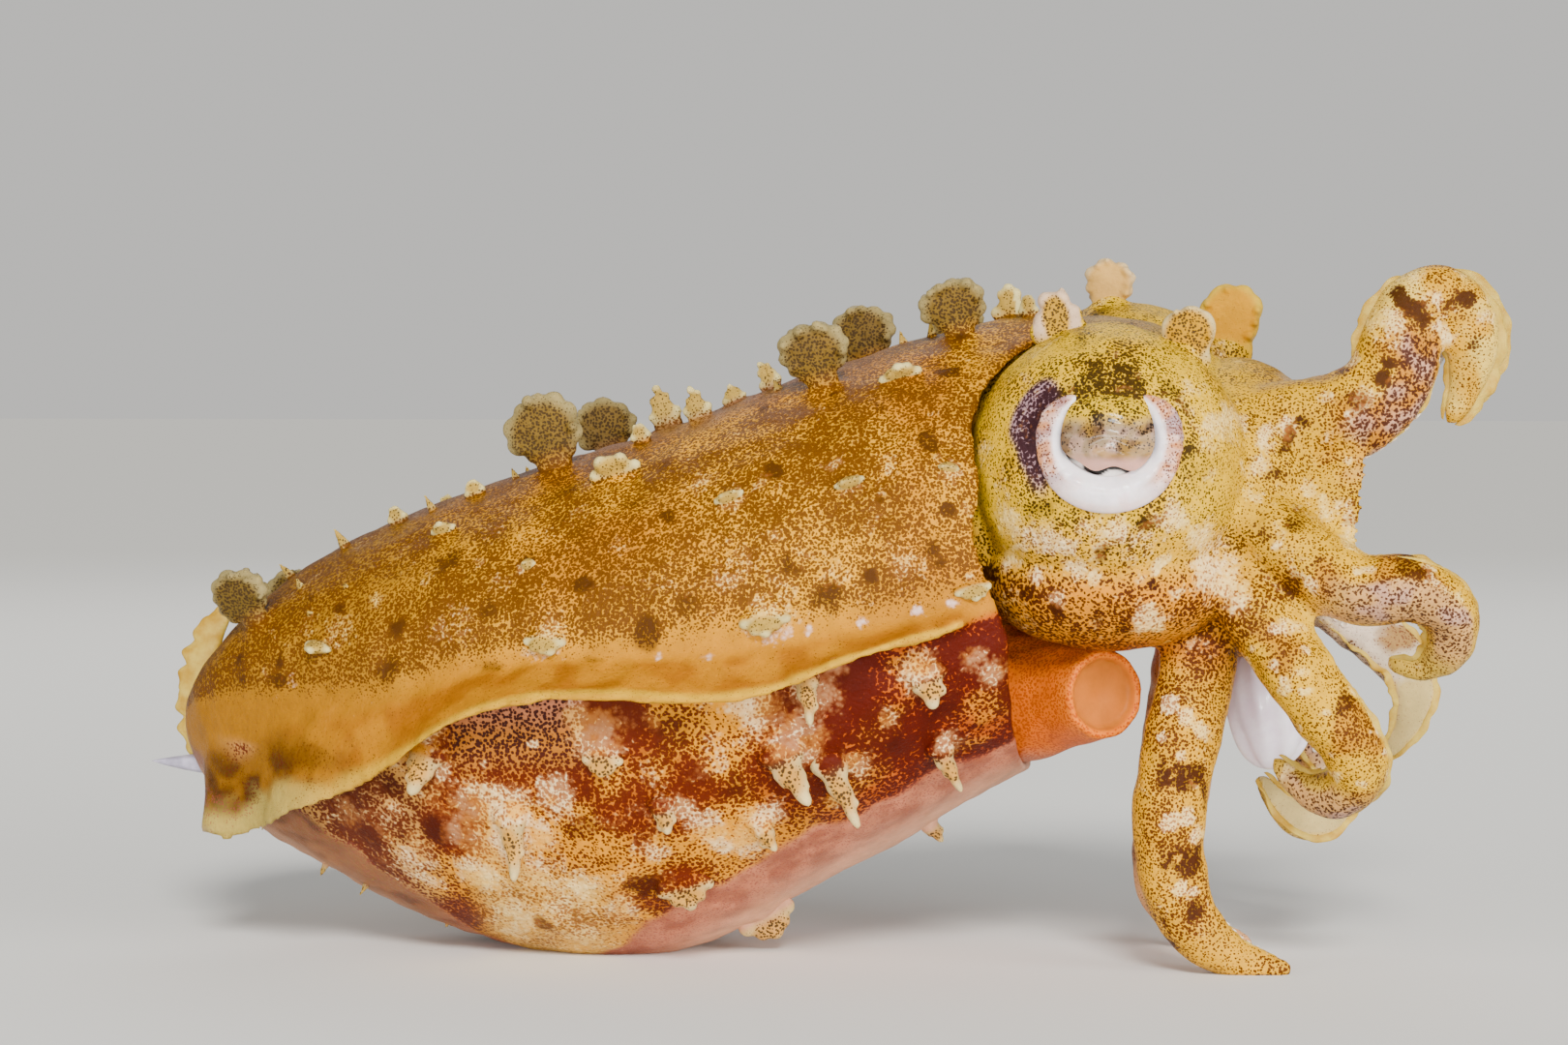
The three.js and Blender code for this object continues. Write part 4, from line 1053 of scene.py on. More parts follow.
def paint_fin(paint, points, share, height, table, side):
    """Amber fin with a pale edge, mottled at the tail"""
    width = course(table, 1)(share) + FIN_SINK
    off = points - mantle_point(share, side * math.pi / 2, -FIN_SINK)
    droop = np.radians(course(table, 2)(share))
    far = (off[:, 1] * side * np.cos(droop) - off[:, 2] * np.sin(droop)) / width
    aside = np.abs(off[:, 1] * side * np.sin(droop) + off[:, 2] * np.cos(droop))
    on_fin = rise(height, 0.2, 0.7) * fall(aside, 1.6, 2.2) * (points[:, 1] * side > 0)
    on_fin = on_fin * fall(share, 0.77, 0.79) * rise(far, 0.1, 0.25)
    mottle = grain(points, 1.7, 31, 2)
    rear = fall(share, 0.22, 0.36)
    brown = rear * rise(grain(points, 2.1, 33, 3), 0.42, 0.68)
    brown = brown * rise(far, 0.25, 0.6) * fall(far, 0.75, 0.95)
    edge = rise(far + 0.25 * rear * (mottle - 0.5), 0.78 - 0.08 * rear, 0.9)
    colour = coats(
        mix(AMBER, DARK_AMBER, rise(mottle, 0.35, 0.8)),
        (FIN_BROWN, (0.5 + 0.35 * rise(far, 0.1, 0.7)) * rear),
        (FIN_UMBER, 0.88 * brown),
        (PALE_YELLOW, 0.55 * edge * (1 - rear) * (1 - 0.5 * rise(far, 0.9, 0.97))),
        ("b09a4c", 0.85 * rear * edge),
        ("9a8296", 0.6 * rear * rise(far, 0.9, 1.0) * fall(share, 0.12, 0.16)),
        (PALE_YELLOW, 0.6 * rear * (side == LEFT)),
    )
    paint["ground"] = mix(paint["ground"], colour, on_fin)
    paint["amount"] = blend(paint["amount"], 0.2 + 0.25 * brown, on_fin)
    for key, cleared in (("white", 0.95), ("dark", 0.95), ("coarse", 1)):
        paint[key] = paint[key] * (1 - cleared * on_fin)
    return paint


# Marks on the head, seen from the side: x, z, size, strength
HEAD_PALE = [
    (27.7, 26.8, 1.0, 0.9), (30.2, 25.7, 1.2, 0.9), (31.0, 25.4, 0.9, 0.8), (33.8, 26.2, 1.0, 0.9),
    (27.7, 24.5, 0.9, 0.8), (31.6, 24.0, 0.9, 0.9), (37.1, 27.1, 1.4, 0.9), (38.8, 25.7, 1.3, 0.9),
    (36.3, 24.6, 0.6, 1), (35.7, 21.3, 1.0, 1.0), (32.7, 23.2, 0.6, 0.9), (29.3, 23.4, 0.6, 0.9),
    (39.3, 23.5, 1.3, 1.1), (40.7, 22.1, 1.1, 1), (39.8, 32.4, 1.3, 0.8), (26.2, 30.6, 0.8, 0.5),
    (42.1, 31.7, 0.7, 0.9), (43.5, 32.0, 0.8, 0.9), (41.8, 30.3, 0.8, 0.9), (46.6, 30.1, 0.7, 0.8),
    (44.4, 28.4, 0.9, 0.7), (46.0, 27.5, 0.9, 0.9), (43.0, 25.5, 0.5, 1.1), (44.6, 23.9, 0.8, 0.8),
    (38.2, 34.6, 0.9, 0.5), (28.4, 35.0, 0.9, 0.4), (33.0, 25.0, 0.7, 0.7), (35.4, 25.8, 0.8, 0.7),
    (37.4, 22.6, 0.6, 0.7), (30.8, 22.2, 0.5, 0.8), (41.6, 28.4, 0.9, 0.6), (29.2, 26.4, 0.9, 0.7),
    (32.2, 26.3, 0.8, 0.7), (39.2, 29.3, 0.9, 0.5), (28.5, 25.6, 0.8, 0.7), (34.6, 24.9, 0.7, 0.5),
]
HEAD_DARK = [
    (31.4, 37.6, 0.8, 0.5), (33.6, 36.2, 1.0, 0.25), (37.2, 34.3, 0.7, 0.6), (35.9, 27.0, 0.8, 0.8),
    (33.1, 24.8, 0.5, 0.8), (35.9, 23.5, 0.45, 1.3), (32.5, 21.1, 0.6, 0.6), (30.8, 21.6, 0.6, 0.6),
    (38.6, 30.1, 1.6, 0.45), (26.4, 23.6, 0.8, 0.9), (44.6, 32.3, 0.5, 1.2), (43.5, 31.4, 0.5, 1.2),
    (47.1, 31.2, 0.6, 0.8), (44.1, 26.7, 0.8, 0.8), (41.9, 26.4, 0.8, 0.5), (33.5, 34.3, 0.9, 0.45),
    (34.4, 20.6, 0.8, 0.6), (30.0, 27.6, 1.1, 0.7), (42.8, 29.6, 0.7, 0.6), (28.6, 22.4, 0.8, 0.6),
]
# Bands and spots of the right lowest arm: share of its length, size, then strength or place across
LEG_BANDS = [
    (0.17, 1.9, 0.9), (0.41, 1.9, 1.1), (0.58, 1.2, 0.9), (0.72, 1.2, 0.9), (0.84, 1.0, 0.6)
]
LEG_SPOTS = [
    (0.26, 0.9, -0.6), (0.28, 0.9, 0.5), (0.3, 0.8, 1.3), (0.36, 0.5, 0.0), (0.49, 0.8, 0.4),
    (0.5, 0.9, -0.5), (0.53, 0.8, 1.1), (0.645, 0.7, 0.1), (0.66, 0.6, 0.9), (0.41, 0.4, 0.9),
    (0.33, 0.5, -1.1),
]
ARM_NAMES = list(ARMS)


def nearest_arm(points):
    """For each point: number of the nearest arm, share along it, turn from its suckers, distance in radii"""
    best = np.full(len(points), 1e9)
    share, turn, index = (np.zeros(len(points)) for _ in range(3))
    for k, (name, shape) in enumerate(ARMS.items()):
        line = ARM_RAILS[name]
        stations = np.arange(0, 161, 2)
        gaps = np.stack([np.linalg.norm(points - line["place"][i], axis=1) for i in stations], 1)
        ratios = gaps / (arm_radius(shape, line["shares"][stations]) + 0.15)
        nearest = np.argmin(ratios, axis=1)
        ratio = ratios[np.arange(len(points)), nearest]
        rows = stations[nearest]
        away = points - line["place"][rows]
        around = np.arctan2(
            (away * line["lateral"][rows]).sum(1), (away * line["normal"][rows]).sum(1)
        )
        closer = ratio < best
        best = np.where(closer, ratio, best)
        share = np.where(closer, line["shares"][rows], share)
        turn = np.where(closer, around, turn)
        index = np.where(closer, k, index)
    return index.astype(int), share, turn, best


def near_side_marks(points, marks, rises):
    """Strength of the nearest mark of a table that gives places seen from the side"""
    found = np.zeros(len(points))
    for i, (cx, cz, size, strength) in enumerate(marks):
        shift = np.where(points[:, 1] > 0, 0.8 * math.sin(4 * i), 0)
        off = (
            (points[:, 0] - cx - shift) ** 2 + (points[:, 2] - rises - cz - shift) ** 2
        ) / size**2
        found = np.maximum(found, strength * np.exp(-(off**1.2)) * (np.abs(points[:, 1]) > 3.5))
    return found


def paint_head(points):
    mid, small = grain(points, 2.2, 42, 2), grain(points, 1.0, 43)
    x, y, z = points.T
    rises = np.where(y > 0, LEFT_EYE_RISE, 0.0)
    level = z - rises
    ground = mix(HEAD_YELLOW, OLIVE, 0.35 * rise(level, 34, 38))
    ground = mix(ground, tint("cc9800"), 0.6 * rise(mid, 0.45, 0.8))
    ground = mix(ground, tint("d29c18"), 0.8 * fall(level, 25.5, 27.5))
    ground = mix(ground, CHEEK_ORANGE, fall(level, 22.5, 25))
    ground = mix(ground, tint("b4600c"), fall(level, 19, 20.4))
    around_eye = rise(-np.hypot(x - 33.6, level - 31.5), -7.2, -5.2)
    amount = 0.45 + 0.2 * (mid - 0.5) + 0.08 * around_eye * rise(small, 0.3, 0.8)
    amount = amount + 0.1 * fall(level, 22, 24.5)
    tone = mix(np.broadcast_to(HEAD_DOT, ground.shape), CHEEK_DOT, fall(level, 23, 26))
    crownward = rise(x, 38.5, 42.5)
    ground = mix(ground, CROWN_YELLOW, 0.85 * crownward)
    tone = mix(tone, ARM_DOT, 0.8 * crownward)
    amount = amount + 0.02 * crownward
    top = rise(level, 36.5, 38.5) * rise(-np.abs(y), -7, -3)
    ground = mix(ground, MAUVE, 0.6 * top)
    coarse = 0.15 + 0.5 * fall(level, 23, 27)
    # speckled purple patch behind the lower lid
    patch = np.hypot((x - 29.5) / 1.5, (level - 31.7) / 3.3) + 0.6 * (mid - 0.5)
    ringed = np.hypot((x - 33.65) / 4.1, (level - 31.5) / 3.9)
    patch = fall(patch, 0.75, 1.0) * rise(ringed, 0.9, 1.0)
    shade = fall(ringed, 1.1, 1.35) * rise(level, 27.0, 31.5) * rise(
        grain(points, 1.4, 49, 2), 0.35, 0.6
    )
    ground = mix(ground, tint("9c7a80"), patch)
    tone = mix(tone, PURPLE_DOT, patch)
    amount = amount + 0.2 * patch + 0.1 * shade
    # dark red-brown behind the domes, under the mantle's edge: partly the skin's own colour, partly painted
    # shade of the mantle's edge
    neck_shade = fall(x, 24.6, 25.8)
    ground = mix(ground, tint("6b2c16"), neck_shade)
    jaw = fall(level, 18, 19.5) * fall(x, 34, 37)
    # inside the crown of arms
    within = rise(x + 1.5 * (mid - 0.5), 42.5, 45) * rise(-np.abs(y), -5, -3.6)
    ground = mix(ground, mix(ORAL, tint("c49a6c"), rise(small, 0.35, 0.75)), 0.9 * within)
    tone = mix(tone, tint("7a4a34"), 0.8 * within)
    amount = amount * (1 - 0.5 * within)
    ground = mix(ground, tint("b85400"), jaw)
    amount = amount * (1 - 0.6 * jaw) * (1 - 0.5 * neck_shade)

    noisy = ragged(points, 1.1, 1.3, 44)
    white = near_side_marks(noisy, HEAD_PALE, rises)
    dark = np.maximum(near_side_marks(noisy, HEAD_DARK, rises), 0.5 * shade)
    stray = 0.5 * rise(grain(points, 1.3, 47, 2), 0.62, 0.84)
    white = np.maximum(1.1 * white, 0.9 * stray) * (1 - patch) * (1 - neck_shade)
    white = np.maximum(white, 0.25 * patch)
    cream = mix(CREAM, CHALK, 0.6 * mid)
    paint = {"ground": ground, "tone": tone, "pale": cream, "white": white, "dark": dark, "amount": amount,
             "coarse": coarse, "worm": 0.2 * np.ones(len(points))}
    return paint_arms(paint, points, mid)


# Dark spots and pale spots on the curl of the first arm, seen from the side: x, z, size, strength
CURL_DARK = [
    (50.1, 39.7, 0.7, 1.4), (50.7, 39.0, 0.8, 1.1), (51.3, 38.2, 0.6, 0.8), (53.6, 39.6, 0.6, 1.0),
    (52.9, 39.3, 0.6, 0.6), (54.3, 37.0, 0.5, 0.7), (49.5, 35.8, 0.45, 1.2), (49.2, 34.8, 0.5, 1.2),
]
CURL_PALE = [
    (49.4, 38.2, 1.2, 1.0), (52.2, 39.6, 0.5, 1.2), (52.4, 37.6, 0.6, 1.3), (50.2, 37.2, 0.7, 1.0),
    (49.9, 34.7, 0.35, 1.2), (48.0, 34.0, 0.9, 0.9), (55.0, 38.5, 0.9, 0.8), (50.8, 41.0, 0.8, 0.7),
]
# Coarsely dotted faces: arm, shares where they start, are full and end, then turns at three shares
DOTTED_FACES = [
    ("1_right", (0.24, 0.34, 0.52, 0.57), (-86, -90, -100), 34),
    ("2_right", (0.3, 0.42, 0.74, 0.84), (214, 205, 214), 46),
    ("3_right", (0.66, 0.74, 0.88, 0.96), (168, 172, 215), 50),
    ("3_left", (0.2, 0.3, 0.55, 0.65), (20, 20, 20), 70),
]


def turned_from(turn, degrees):
    """Degrees between a turn and a direction round the arm"""
    return np.abs((np.degrees(turn) - degrees + 180) % 360 - 180)


def paint_arms(paint, points, mid):
    """Yellow arms with brown bands and pale spots, pink on their sucker sides"""
    index, share, turn, ratio = nearest_arm(points)
    roots = np.array([0.27, 0.25, 0.22, 0.19, 0.27, 0.26, 0.24, 0.2])[index]
    on_arm = rise(share - roots, -0.08, 0.04) * fall(ratio, 1.5, 1.9)
    inner = np.cos(turn)
    ground = mix(ARM_YELLOW, ARM_TAN, rise(mid, 0.4, 0.75))
    tipward = rise(share, 0.6, 0.85)
    ground = mix(ground, tint("b89c40"), 0.7 * tipward)
    oral = rise(inner, 0.45, 0.75)
    ground = mix(ground, ORAL, oral)
    ground = mix(ground, tint("a4903c"), 0.75 * oral * rise(share, 0.5, 0.72))
    border = rise(inner, 0.2, 0.36) * (1 - rise(inner, 0.5, 0.66))
    ground = mix(ground, PALE_YELLOW, 0.4 * border)
    amount = 0.49 + 0.24 * (mid - 0.5)
    amount = amount * (1 - oral) + 0.2 * oral
    amount = amount * (1 - 0.25 * border) * (1 - 0.12 * tipward)
    dark = 0.6 * rise(np.sin(share * 23 + index * 1.7), 0.55, 0.95) * rise(mid, 0.35, 0.6) * (
        1 - oral
    )
    dark = dark * (1 - 0.6 * tipward)
    white = 0.8 * rise(grain(points, 1.2, 51, 2), 0.56, 0.76) * (1 - 0.8 * oral)
    tone = mix(np.broadcast_to(ARM_DOT, ground.shape), tint("7a4a34"), 0.7 * oral)
    coarse = np.full(len(points), 0.08)

    # the first arms: cream curl with dark spots
    first = (index == ARM_NAMES.index("1_right")) | (index == ARM_NAMES.index("1_left"))
    curl = first * rise(share, 0.46, 0.6)
    noisy = ragged(points, 0.8, 1.0, 54)
    ground = mix(
        ground, mix(tint("dcb850"), tint("cc9408"), rise(mid, 0.4, 0.65)), 0.85 * curl * (1 - oral)
    )
    amount = amount * (1 - 0.12 * curl)
    dark = dark * (1 - curl)
    white = white * (1 - 0.4 * curl)
    spots = near_side_marks(noisy, CURL_DARK, 0)
    dark = np.where(first, np.maximum(dark, spots), dark)
    amount = amount + 0.25 * spots * first
    white = np.where(first, np.maximum(white, 0.9 * near_side_marks(noisy, CURL_PALE, 0)), white)

    # coarse dots on pinkish skin
    for name, shares, turns, width in DOTTED_FACES:
        centre = np.interp(share, [shares[0], 0.5 * (shares[1] + shares[2]), shares[3]], turns)
        face = rise(share, *shares[:2]) * (1 - rise(share, *shares[2:]))
        face = face * (index == ARM_NAMES.index(name)) * rise(
            -turned_from(turn, centre), -width - 8, -width + 8
        )
        skin, dots = ("b4701c", "34120a") if name == "1_right" else ("bc8c54", "3a1c10")
        clouded = mix(tint(skin), tint("b48c80"), 0.75 * rise(grain(points, 1.3, 55, 2), 0.45, 0.7))
        ground = mix(ground, clouded, 0.92 * face)
        tone = mix(tone, tint(dots), face)
        amount = amount * (1 - face) + (0.58 if name == "1_right" else 0.5) * face
        coarse = coarse * (1 - face) + 0.6 * face
        dark, white = dark * (1 - face), white * (1 - 0.8 * face)

    # the second left arm: brown patch on whitish skin
    behind = (index == ARM_NAMES.index("2_left")) * rise(share, 0.3, 0.38) * fall(share, 0.7, 0.74)
    torn = share + 0.16 * (grain(points, 1.2, 57, 2) - 0.5)
    patch = behind * rise(-turned_from(turn, -25), -65, -35) * rise(torn, 0.5, 0.56) * fall(
        torn, 0.64, 0.7
    )
    ground = mix(mix(ground, tint("c8b8a4"), behind * 0.7), tint("8e6418"), 0.85 * patch)
    amount = amount + 0.2 * patch

    leg = index == ARM_NAMES.index("4_right")
    line = ARM_RAILS["4_right"]
    band, spots = np.zeros(len(points)), np.zeros(len(points))
    torn = grain(points, 1.1, 56, 3)
    for place, size, strength in LEG_BANDS:
        band = np.maximum(
            band, strength * np.exp(-(((share - place) * line["length"] / size) ** 2))
        )
    band = band * (0.1 + 1.1 * rise(torn, 0.3, 0.7)) * rise(
        -np.abs(points[:, 0] - 37.5), -1.9, -0.7
    ) * (1 - oral)
    for place, size, across in LEG_SPOTS:
        off = ((share - place) * line["length"]) ** 2 + (
            points[:, 0] + 0.4 * torn - 37.5 - across
        ) ** 2
        spots = np.maximum(spots, 1.2 * np.exp(-((off / (0.7 * size) ** 2) ** 2)))
    spots = spots * rise(-points[:, 1], 6.4, 7.0) * (share < 0.7)
    dark = np.where(leg, band, dark)
    white = np.where(leg, np.maximum(spots, 0.4 * white), white)
    ground = mix(ground, tint("d09400"), np.where(leg, 0.8 * (1 - oral), 0))
    tone = mix(tone, tint("481a06"), np.where(leg, 0.8 * (1 - oral), 0))
    amount = np.where(leg, amount + 0.03 * (1 - oral), amount)

    far_leg = index == ARM_NAMES.index("4_left")
    ground = mix(ground, mix(LEG_PINK, tint("c88c60"), mid), np.where(far_leg, 0.85, 0))
    amount = np.where(far_leg, 0.3, amount)
    white = np.where(far_leg, 0.3 * white, white)
    for key, value in (("ground", ground), ("tone", tone)):
        paint[key] = mix(paint[key], value, on_arm)
    for key, value in (("amount", amount), ("dark", dark), ("white", white), ("coarse", coarse)):
        paint[key] = paint[key] * (1 - on_arm) + value * on_arm
    return paint


def paint_papillae(paint, points, all_axes, rim_low, rim_high, core, rim_colour, core_amount):
    """Papillae coloured at the core, and paler at the rim and tips"""
    for point, across, through, up, width, height in all_axes:
        off = points - point
        u, v, w = off @ across, off @ up, off @ through
        near = (np.abs(u) < width * 0.75) & (v > -0.4) & (v < height * 1.35 + 0.3) & (
            np.abs(w) < 1.2 + 0.35 * height
        )
        rim = np.hypot(u / (width * 0.5), (v - height * 0.5) / (height * 0.5))
        grown = rise(v, 0.0, 0.35 * height)
        edge = rise(rim, rim_low, rim_high) * grown
        colour = mix(mix(paint["ground"], core, 0.9 * grown), rim_colour, edge)
        paint["ground"] = np.where(near[:, None], colour, paint["ground"])
        paint["tone"] = np.where(
            near[:, None], mix(paint["tone"], tint("382814"), grown), paint["tone"]
        )
        for key, value in (("amount", core_amount * (1 - 0.6 * edge)), ("white", 0.15 * edge), ("dark", 0 * edge), ("worm", 0 * edge)):
            level = paint[key] * (1 - grown) + value * grown
            paint[key] = np.where(near, level, paint[key])
    return paint


def bands(paint):
    """Paint as the colour attributes that the skin's material reads"""
    return {
        "ground": np.clip(paint["ground"], 0, 1),
        "tone": np.clip(paint["tone"], 0, 1),
        "pale": np.clip(paint["pale"], 0, 1),
        "marks": np.stack([paint["white"], paint["dark"], paint["amount"]], 1),
        "fineness": np.stack([paint["coarse"], paint["worm"], 0 * paint["worm"]], 1),
    }


# ---- Materials ----

def plain_material(name, colour, roughness, **sockets):
    material = bpy.data.materials.new(name)
    material.use_nodes = True
    shader = material.node_tree.nodes["Principled BSDF"]
    shader.inputs["Base Color"].default_value = (*colour, 1)
    shader.inputs["Roughness"].default_value = roughness
    for socket, value in sockets.items():
        shader.inputs[socket.replace("_", " ")].default_value = value
    return material, material.node_tree.nodes, material.node_tree.links, shader


def group_tools(name, inputs, outputs):
    """Empty node group with the named sockets, and functions that add to it"""
    tree = bpy.data.node_groups.new(name, "ShaderNodeTree")
    for direction, sockets in (("INPUT", inputs), ("OUTPUT", outputs)):
        for label, kind, value in sockets:
            socket = tree.interface.new_socket(
                name=label, in_out=direction, socket_type="NodeSocket" + kind
            )
            if value is not None:
                socket.default_value = value
    source = tree.nodes.new("NodeGroupInput")
    sink = tree.nodes.new("NodeGroupOutput")
    return tree, source, sink


def add_node(tree, kind, settings=None, **links):
    """Node with its settings, its sockets fed by numbers or by other sockets"""
    node = tree.nodes.new("ShaderNode" + kind)
    for key, value in (settings or {}).items():
        setattr(node, key, value)
    for key, value in links.items():
        socket = node.inputs[int(key[1:])] if key[0] == "i" and key[1:].isdigit() else node.inputs[
            key.replace("_", " ")
        ]
        if isinstance(value, bpy.types.NodeSocket):
            tree.links.new(value, socket)
        else:
            socket.default_value = value
    return node


def maths(tree, operation, *values):
    return add_node(
        tree, "Math", {"operation": operation}, **{f"i{k}": v for k, v in enumerate(values)}
    ).outputs[0]


def step_up(tree, value, low, high):
    """Smooth step from 0 to 1 inside a node tree"""
    node = add_node(tree, "MapRange", {"interpolation_type": "SMOOTHSTEP"}, Value=value)
    for key, edge in (("From Min", low), ("From Max", high)):
        if isinstance(edge, bpy.types.NodeSocket):
            tree.links.new(edge, node.inputs[key])
        else:
            node.inputs[key].default_value = edge
    return node.outputs[0]


def blend_colours(tree, share, a, b):
    node = add_node(tree, "Mix", {"data_type": "RGBA"})
    for socket, value in ((node.inputs[0], share), (node.inputs[6], a), (node.inputs[7], b)):
        if isinstance(value, bpy.types.NodeSocket):
            tree.links.new(value, socket)
        else:
            socket.default_value = value
    return node.outputs[2]


def chromatophore_group():
    """Pigment dots, wormy speckle, pebbly pale patches and dark spots over a ground colour"""
    tree, source, sink = group_tools(
        "chromatophores",
        [("Place", "Vector", None), ("Ground", "Color", None), ("Tone", "Color", None),
         ("Pale", "Color", None), ("White", "Float", 0.0), ("Dark", "Float", 0.0),
         ("Amount", "Float", 0.4), ("Coarse", "Float", 0.0), ("Worm", "Float", 0.0),
         ("Fine Spacing", "Float", 0.17), ("Coarse Spacing", "Float", 0.22),
         ("Pebble Size", "Float", 0.32)],
        [("Color", "Color", None), ("Height", "Float", None), ("Roughness", "Float", None)],
    )
    inputs = source.outputs
    place = add_node(
        tree, "VectorMath", {"operation": "SCALE"}, i0=inputs["Place"], Scale=1 / MM
    ).outputs[0]
    warp = add_node(
        tree, "TexNoise", {"noise_dimensions": "3D"}, Vector=place, Scale=1.6, Detail=2.0
    )
    shift = add_node(tree, "VectorMath", {"operation": "MULTIPLY_ADD"}, i0=warp.outputs["Color"],
                     i1=(0.25, 0.25, 0.25), i2=place).outputs[0]

    def cells(spacing, randomness=0.9):
        scale = maths(tree, "DIVIDE", 1.0, inputs[spacing])
        return add_node(
            tree, "TexVoronoi", {"feature": "F1"}, Vector=shift, Scale=scale, Randomness=randomness
        )

    # pale patches, grown together from pebbles
    pebble = cells("Pebble Size").outputs["Distance"]
    torn = add_node(
        tree, "TexNoise", {}, Vector=place, Scale=1.3, Detail=5.0, Roughness=0.75
    ).outputs["Fac"]
    patch = maths(tree, "ADD", inputs["White"], maths(tree, "MULTIPLY_ADD", pebble, -0.5, 0.2))
    patch = maths(tree, "ADD", patch, maths(tree, "MULTIPLY_ADD", torn, 1.3, -0.65))
    white = step_up(tree, patch, 0.22, 0.95)
    blur = maths(tree, "ADD", inputs["Dark"], maths(tree, "MULTIPLY_ADD", torn, 0.8, -0.4))
    dark = step_up(tree, blur, 0.2, 0.8)

    # pigment dots: distance to the nearest one, in its own spacings
    fine = maths(tree, "MULTIPLY", cells("Fine Spacing").outputs["Distance"], maths(tree, "SUBTRACT", 1.0, inputs["Coarse"]))
    broad = maths(tree, "MULTIPLY", cells("Coarse Spacing").outputs["Distance"], inputs["Coarse"])
    worms = add_node(
        tree, "TexNoise", {}, Vector=place, Scale=5.2, Detail=1.5, Roughness=0.55, Distortion=0.6
    ).outputs["Fac"]
    bent = maths(tree, "MULTIPLY", maths(tree, "MULTIPLY_ADD", worms, 1.5, -0.75), inputs["Worm"])
    distance = maths(tree, "ADD", maths(tree, "ADD", fine, broad), bent)
    radius = maths(tree, "MULTIPLY_ADD", dark, 0.2, inputs["Amount"])
    radius = maths(tree, "MULTIPLY_ADD", white, -0.07, radius)
    clear = step_up(
        tree, distance, maths(tree, "SUBTRACT", radius, 0.12), maths(tree, "ADD", radius, 0.04)
    )
    speck = maths(tree, "SUBTRACT", 1.0, clear)

    cloud = add_node(
        tree, "TexNoise", {}, Vector=place, Scale=0.7, Detail=5.0, Roughness=0.65
    ).outputs["Fac"]
    lift = maths(tree, "MULTIPLY_ADD", cloud, 0.7, 0.6)
    ground = add_node(
        tree, "VectorMath", {"operation": "SCALE"}, i0=inputs["Ground"], Scale=lift
    ).outputs[0]
    # the ground shows through the thinner pebbles
    cover = maths(tree, "MULTIPLY", white, maths(tree, "MULTIPLY_ADD", pebble, -0.5, 0.98))
    colour = blend_colours(tree, cover, ground, inputs["Pale"])
    deeper = add_node(tree, "VectorMath", {"operation": "SCALE"}, i0=inputs["Tone"],
                      Scale=maths(tree, "MULTIPLY_ADD", dark, -0.4, 1.0)).outputs[0]
    soaked = blend_colours(tree, 0.75, ground, deeper)
    colour = blend_colours(tree, maths(tree, "MULTIPLY", dark, 0.9), colour, soaked)
    strength = maths(tree, "MULTIPLY", speck, maths(tree, "MULTIPLY_ADD", white, -0.15, 0.95))
    faded = blend_colours(tree, maths(tree, "MULTIPLY", white, 0.55), deeper, (*tint("a8581a"), 1))
    colour = blend_colours(tree, strength, colour, faded)
    tree.links.new(colour, sink.inputs["Color"])

    pores = add_node(
        tree, "TexNoise", {}, Vector=place, Scale=2.6, Detail=6.0, Roughness=0.72
    ).outputs["Fac"]
    bead = maths(tree, "MULTIPLY_ADD", pebble, -0.7, 0.5)
    relief = maths(tree, "MULTIPLY_ADD", maths(tree, "MULTIPLY_ADD", white, 0.8, 0.25), bead, pores)
    relief = maths(tree, "MULTIPLY_ADD", speck, -0.1, relief)
    tree.links.new(relief, sink.inputs["Height"])
    wet = maths(tree, "MULTIPLY_ADD", pores, 0.3, 0.2)
    tree.links.new(wet, sink.inputs["Roughness"])
    return tree


def skin_material(name, group, translucency=0.06, relief=0.6):
    material, nodes, links, shader = plain_material(
        name, (0.6, 0.4, 0.1), 0.45,
        Subsurface_Weight=translucency, Subsurface_Radius=(1.0, 0.5, 0.25), Subsurface_Scale=0.0004,
        Specular_IOR_Level=0.07,
    )
    tree = material.node_tree
    place = add_node(tree, "TexCoord").outputs["Object"]
    mottle = nodes.new("ShaderNodeGroup")
    mottle.node_tree = group
    links.new(place, mottle.inputs["Place"])
    for layer, socket in (("ground", "Ground"), ("tone", "Tone"), ("pale", "Pale")):
        links.new(add_node(tree, "Attribute", {"attribute_name": layer}).outputs["Color"], mottle.inputs[socket])
    for layer, sockets in (
        ("marks", ("White", "Dark", "Amount")), ("fineness", ("Coarse", "Worm"))
    ):
        colour = add_node(tree, "Attribute", {"attribute_name": layer}).outputs["Color"]
        parts = add_node(tree, "SeparateColor", {}, Color=colour)
        for k, socket in enumerate(sockets):
            links.new(parts.outputs[k], mottle.inputs[socket])
    links.new(mottle.outputs["Color"], shader.inputs["Base Color"])
    links.new(mottle.outputs["Roughness"], shader.inputs["Roughness"])
    bump = add_node(
        tree, "Bump", {}, Strength=relief, Distance=0.0002, Height=mottle.outputs["Height"]
    )
    links.new(bump.outputs["Normal"], shader.inputs["Normal"])
    return material


def membrane_material(name, colour, second, size, roughness, **sockets):
    """Smooth flesh clouded with a second colour"""
    material, nodes, links, shader = plain_material(name, colour, roughness, **sockets)
    tree = material.node_tree
    place = add_node(tree, "TexCoord").outputs["Object"]
    mapped = add_node(tree, "VectorMath", {"operation": "SCALE"}, i0=place, Scale=1 / MM).outputs[0]
    cloud = add_node(tree, "TexNoise", {}, Vector=mapped, Scale=1 / size, Detail=5.0, Roughness=0.6)
    share = step_up(tree, cloud.outputs["Fac"], 0.35, 0.68)
    links.new(blend_colours(tree, share, (*colour, 1), (*second, 1)), shader.inputs["Base Color"])
    bump = add_node(tree, "Bump", {}, Strength=0.25, Distance=0.0001, Height=cloud.outputs["Fac"])
    links.new(bump.outputs["Normal"], shader.inputs["Normal"])
    return material


CHROMATOPHORES = chromatophore_group()
SKIN = skin_material("speckled_skin", CHROMATOPHORES)


# ---- The pieces ----

luck = random.Random(11)

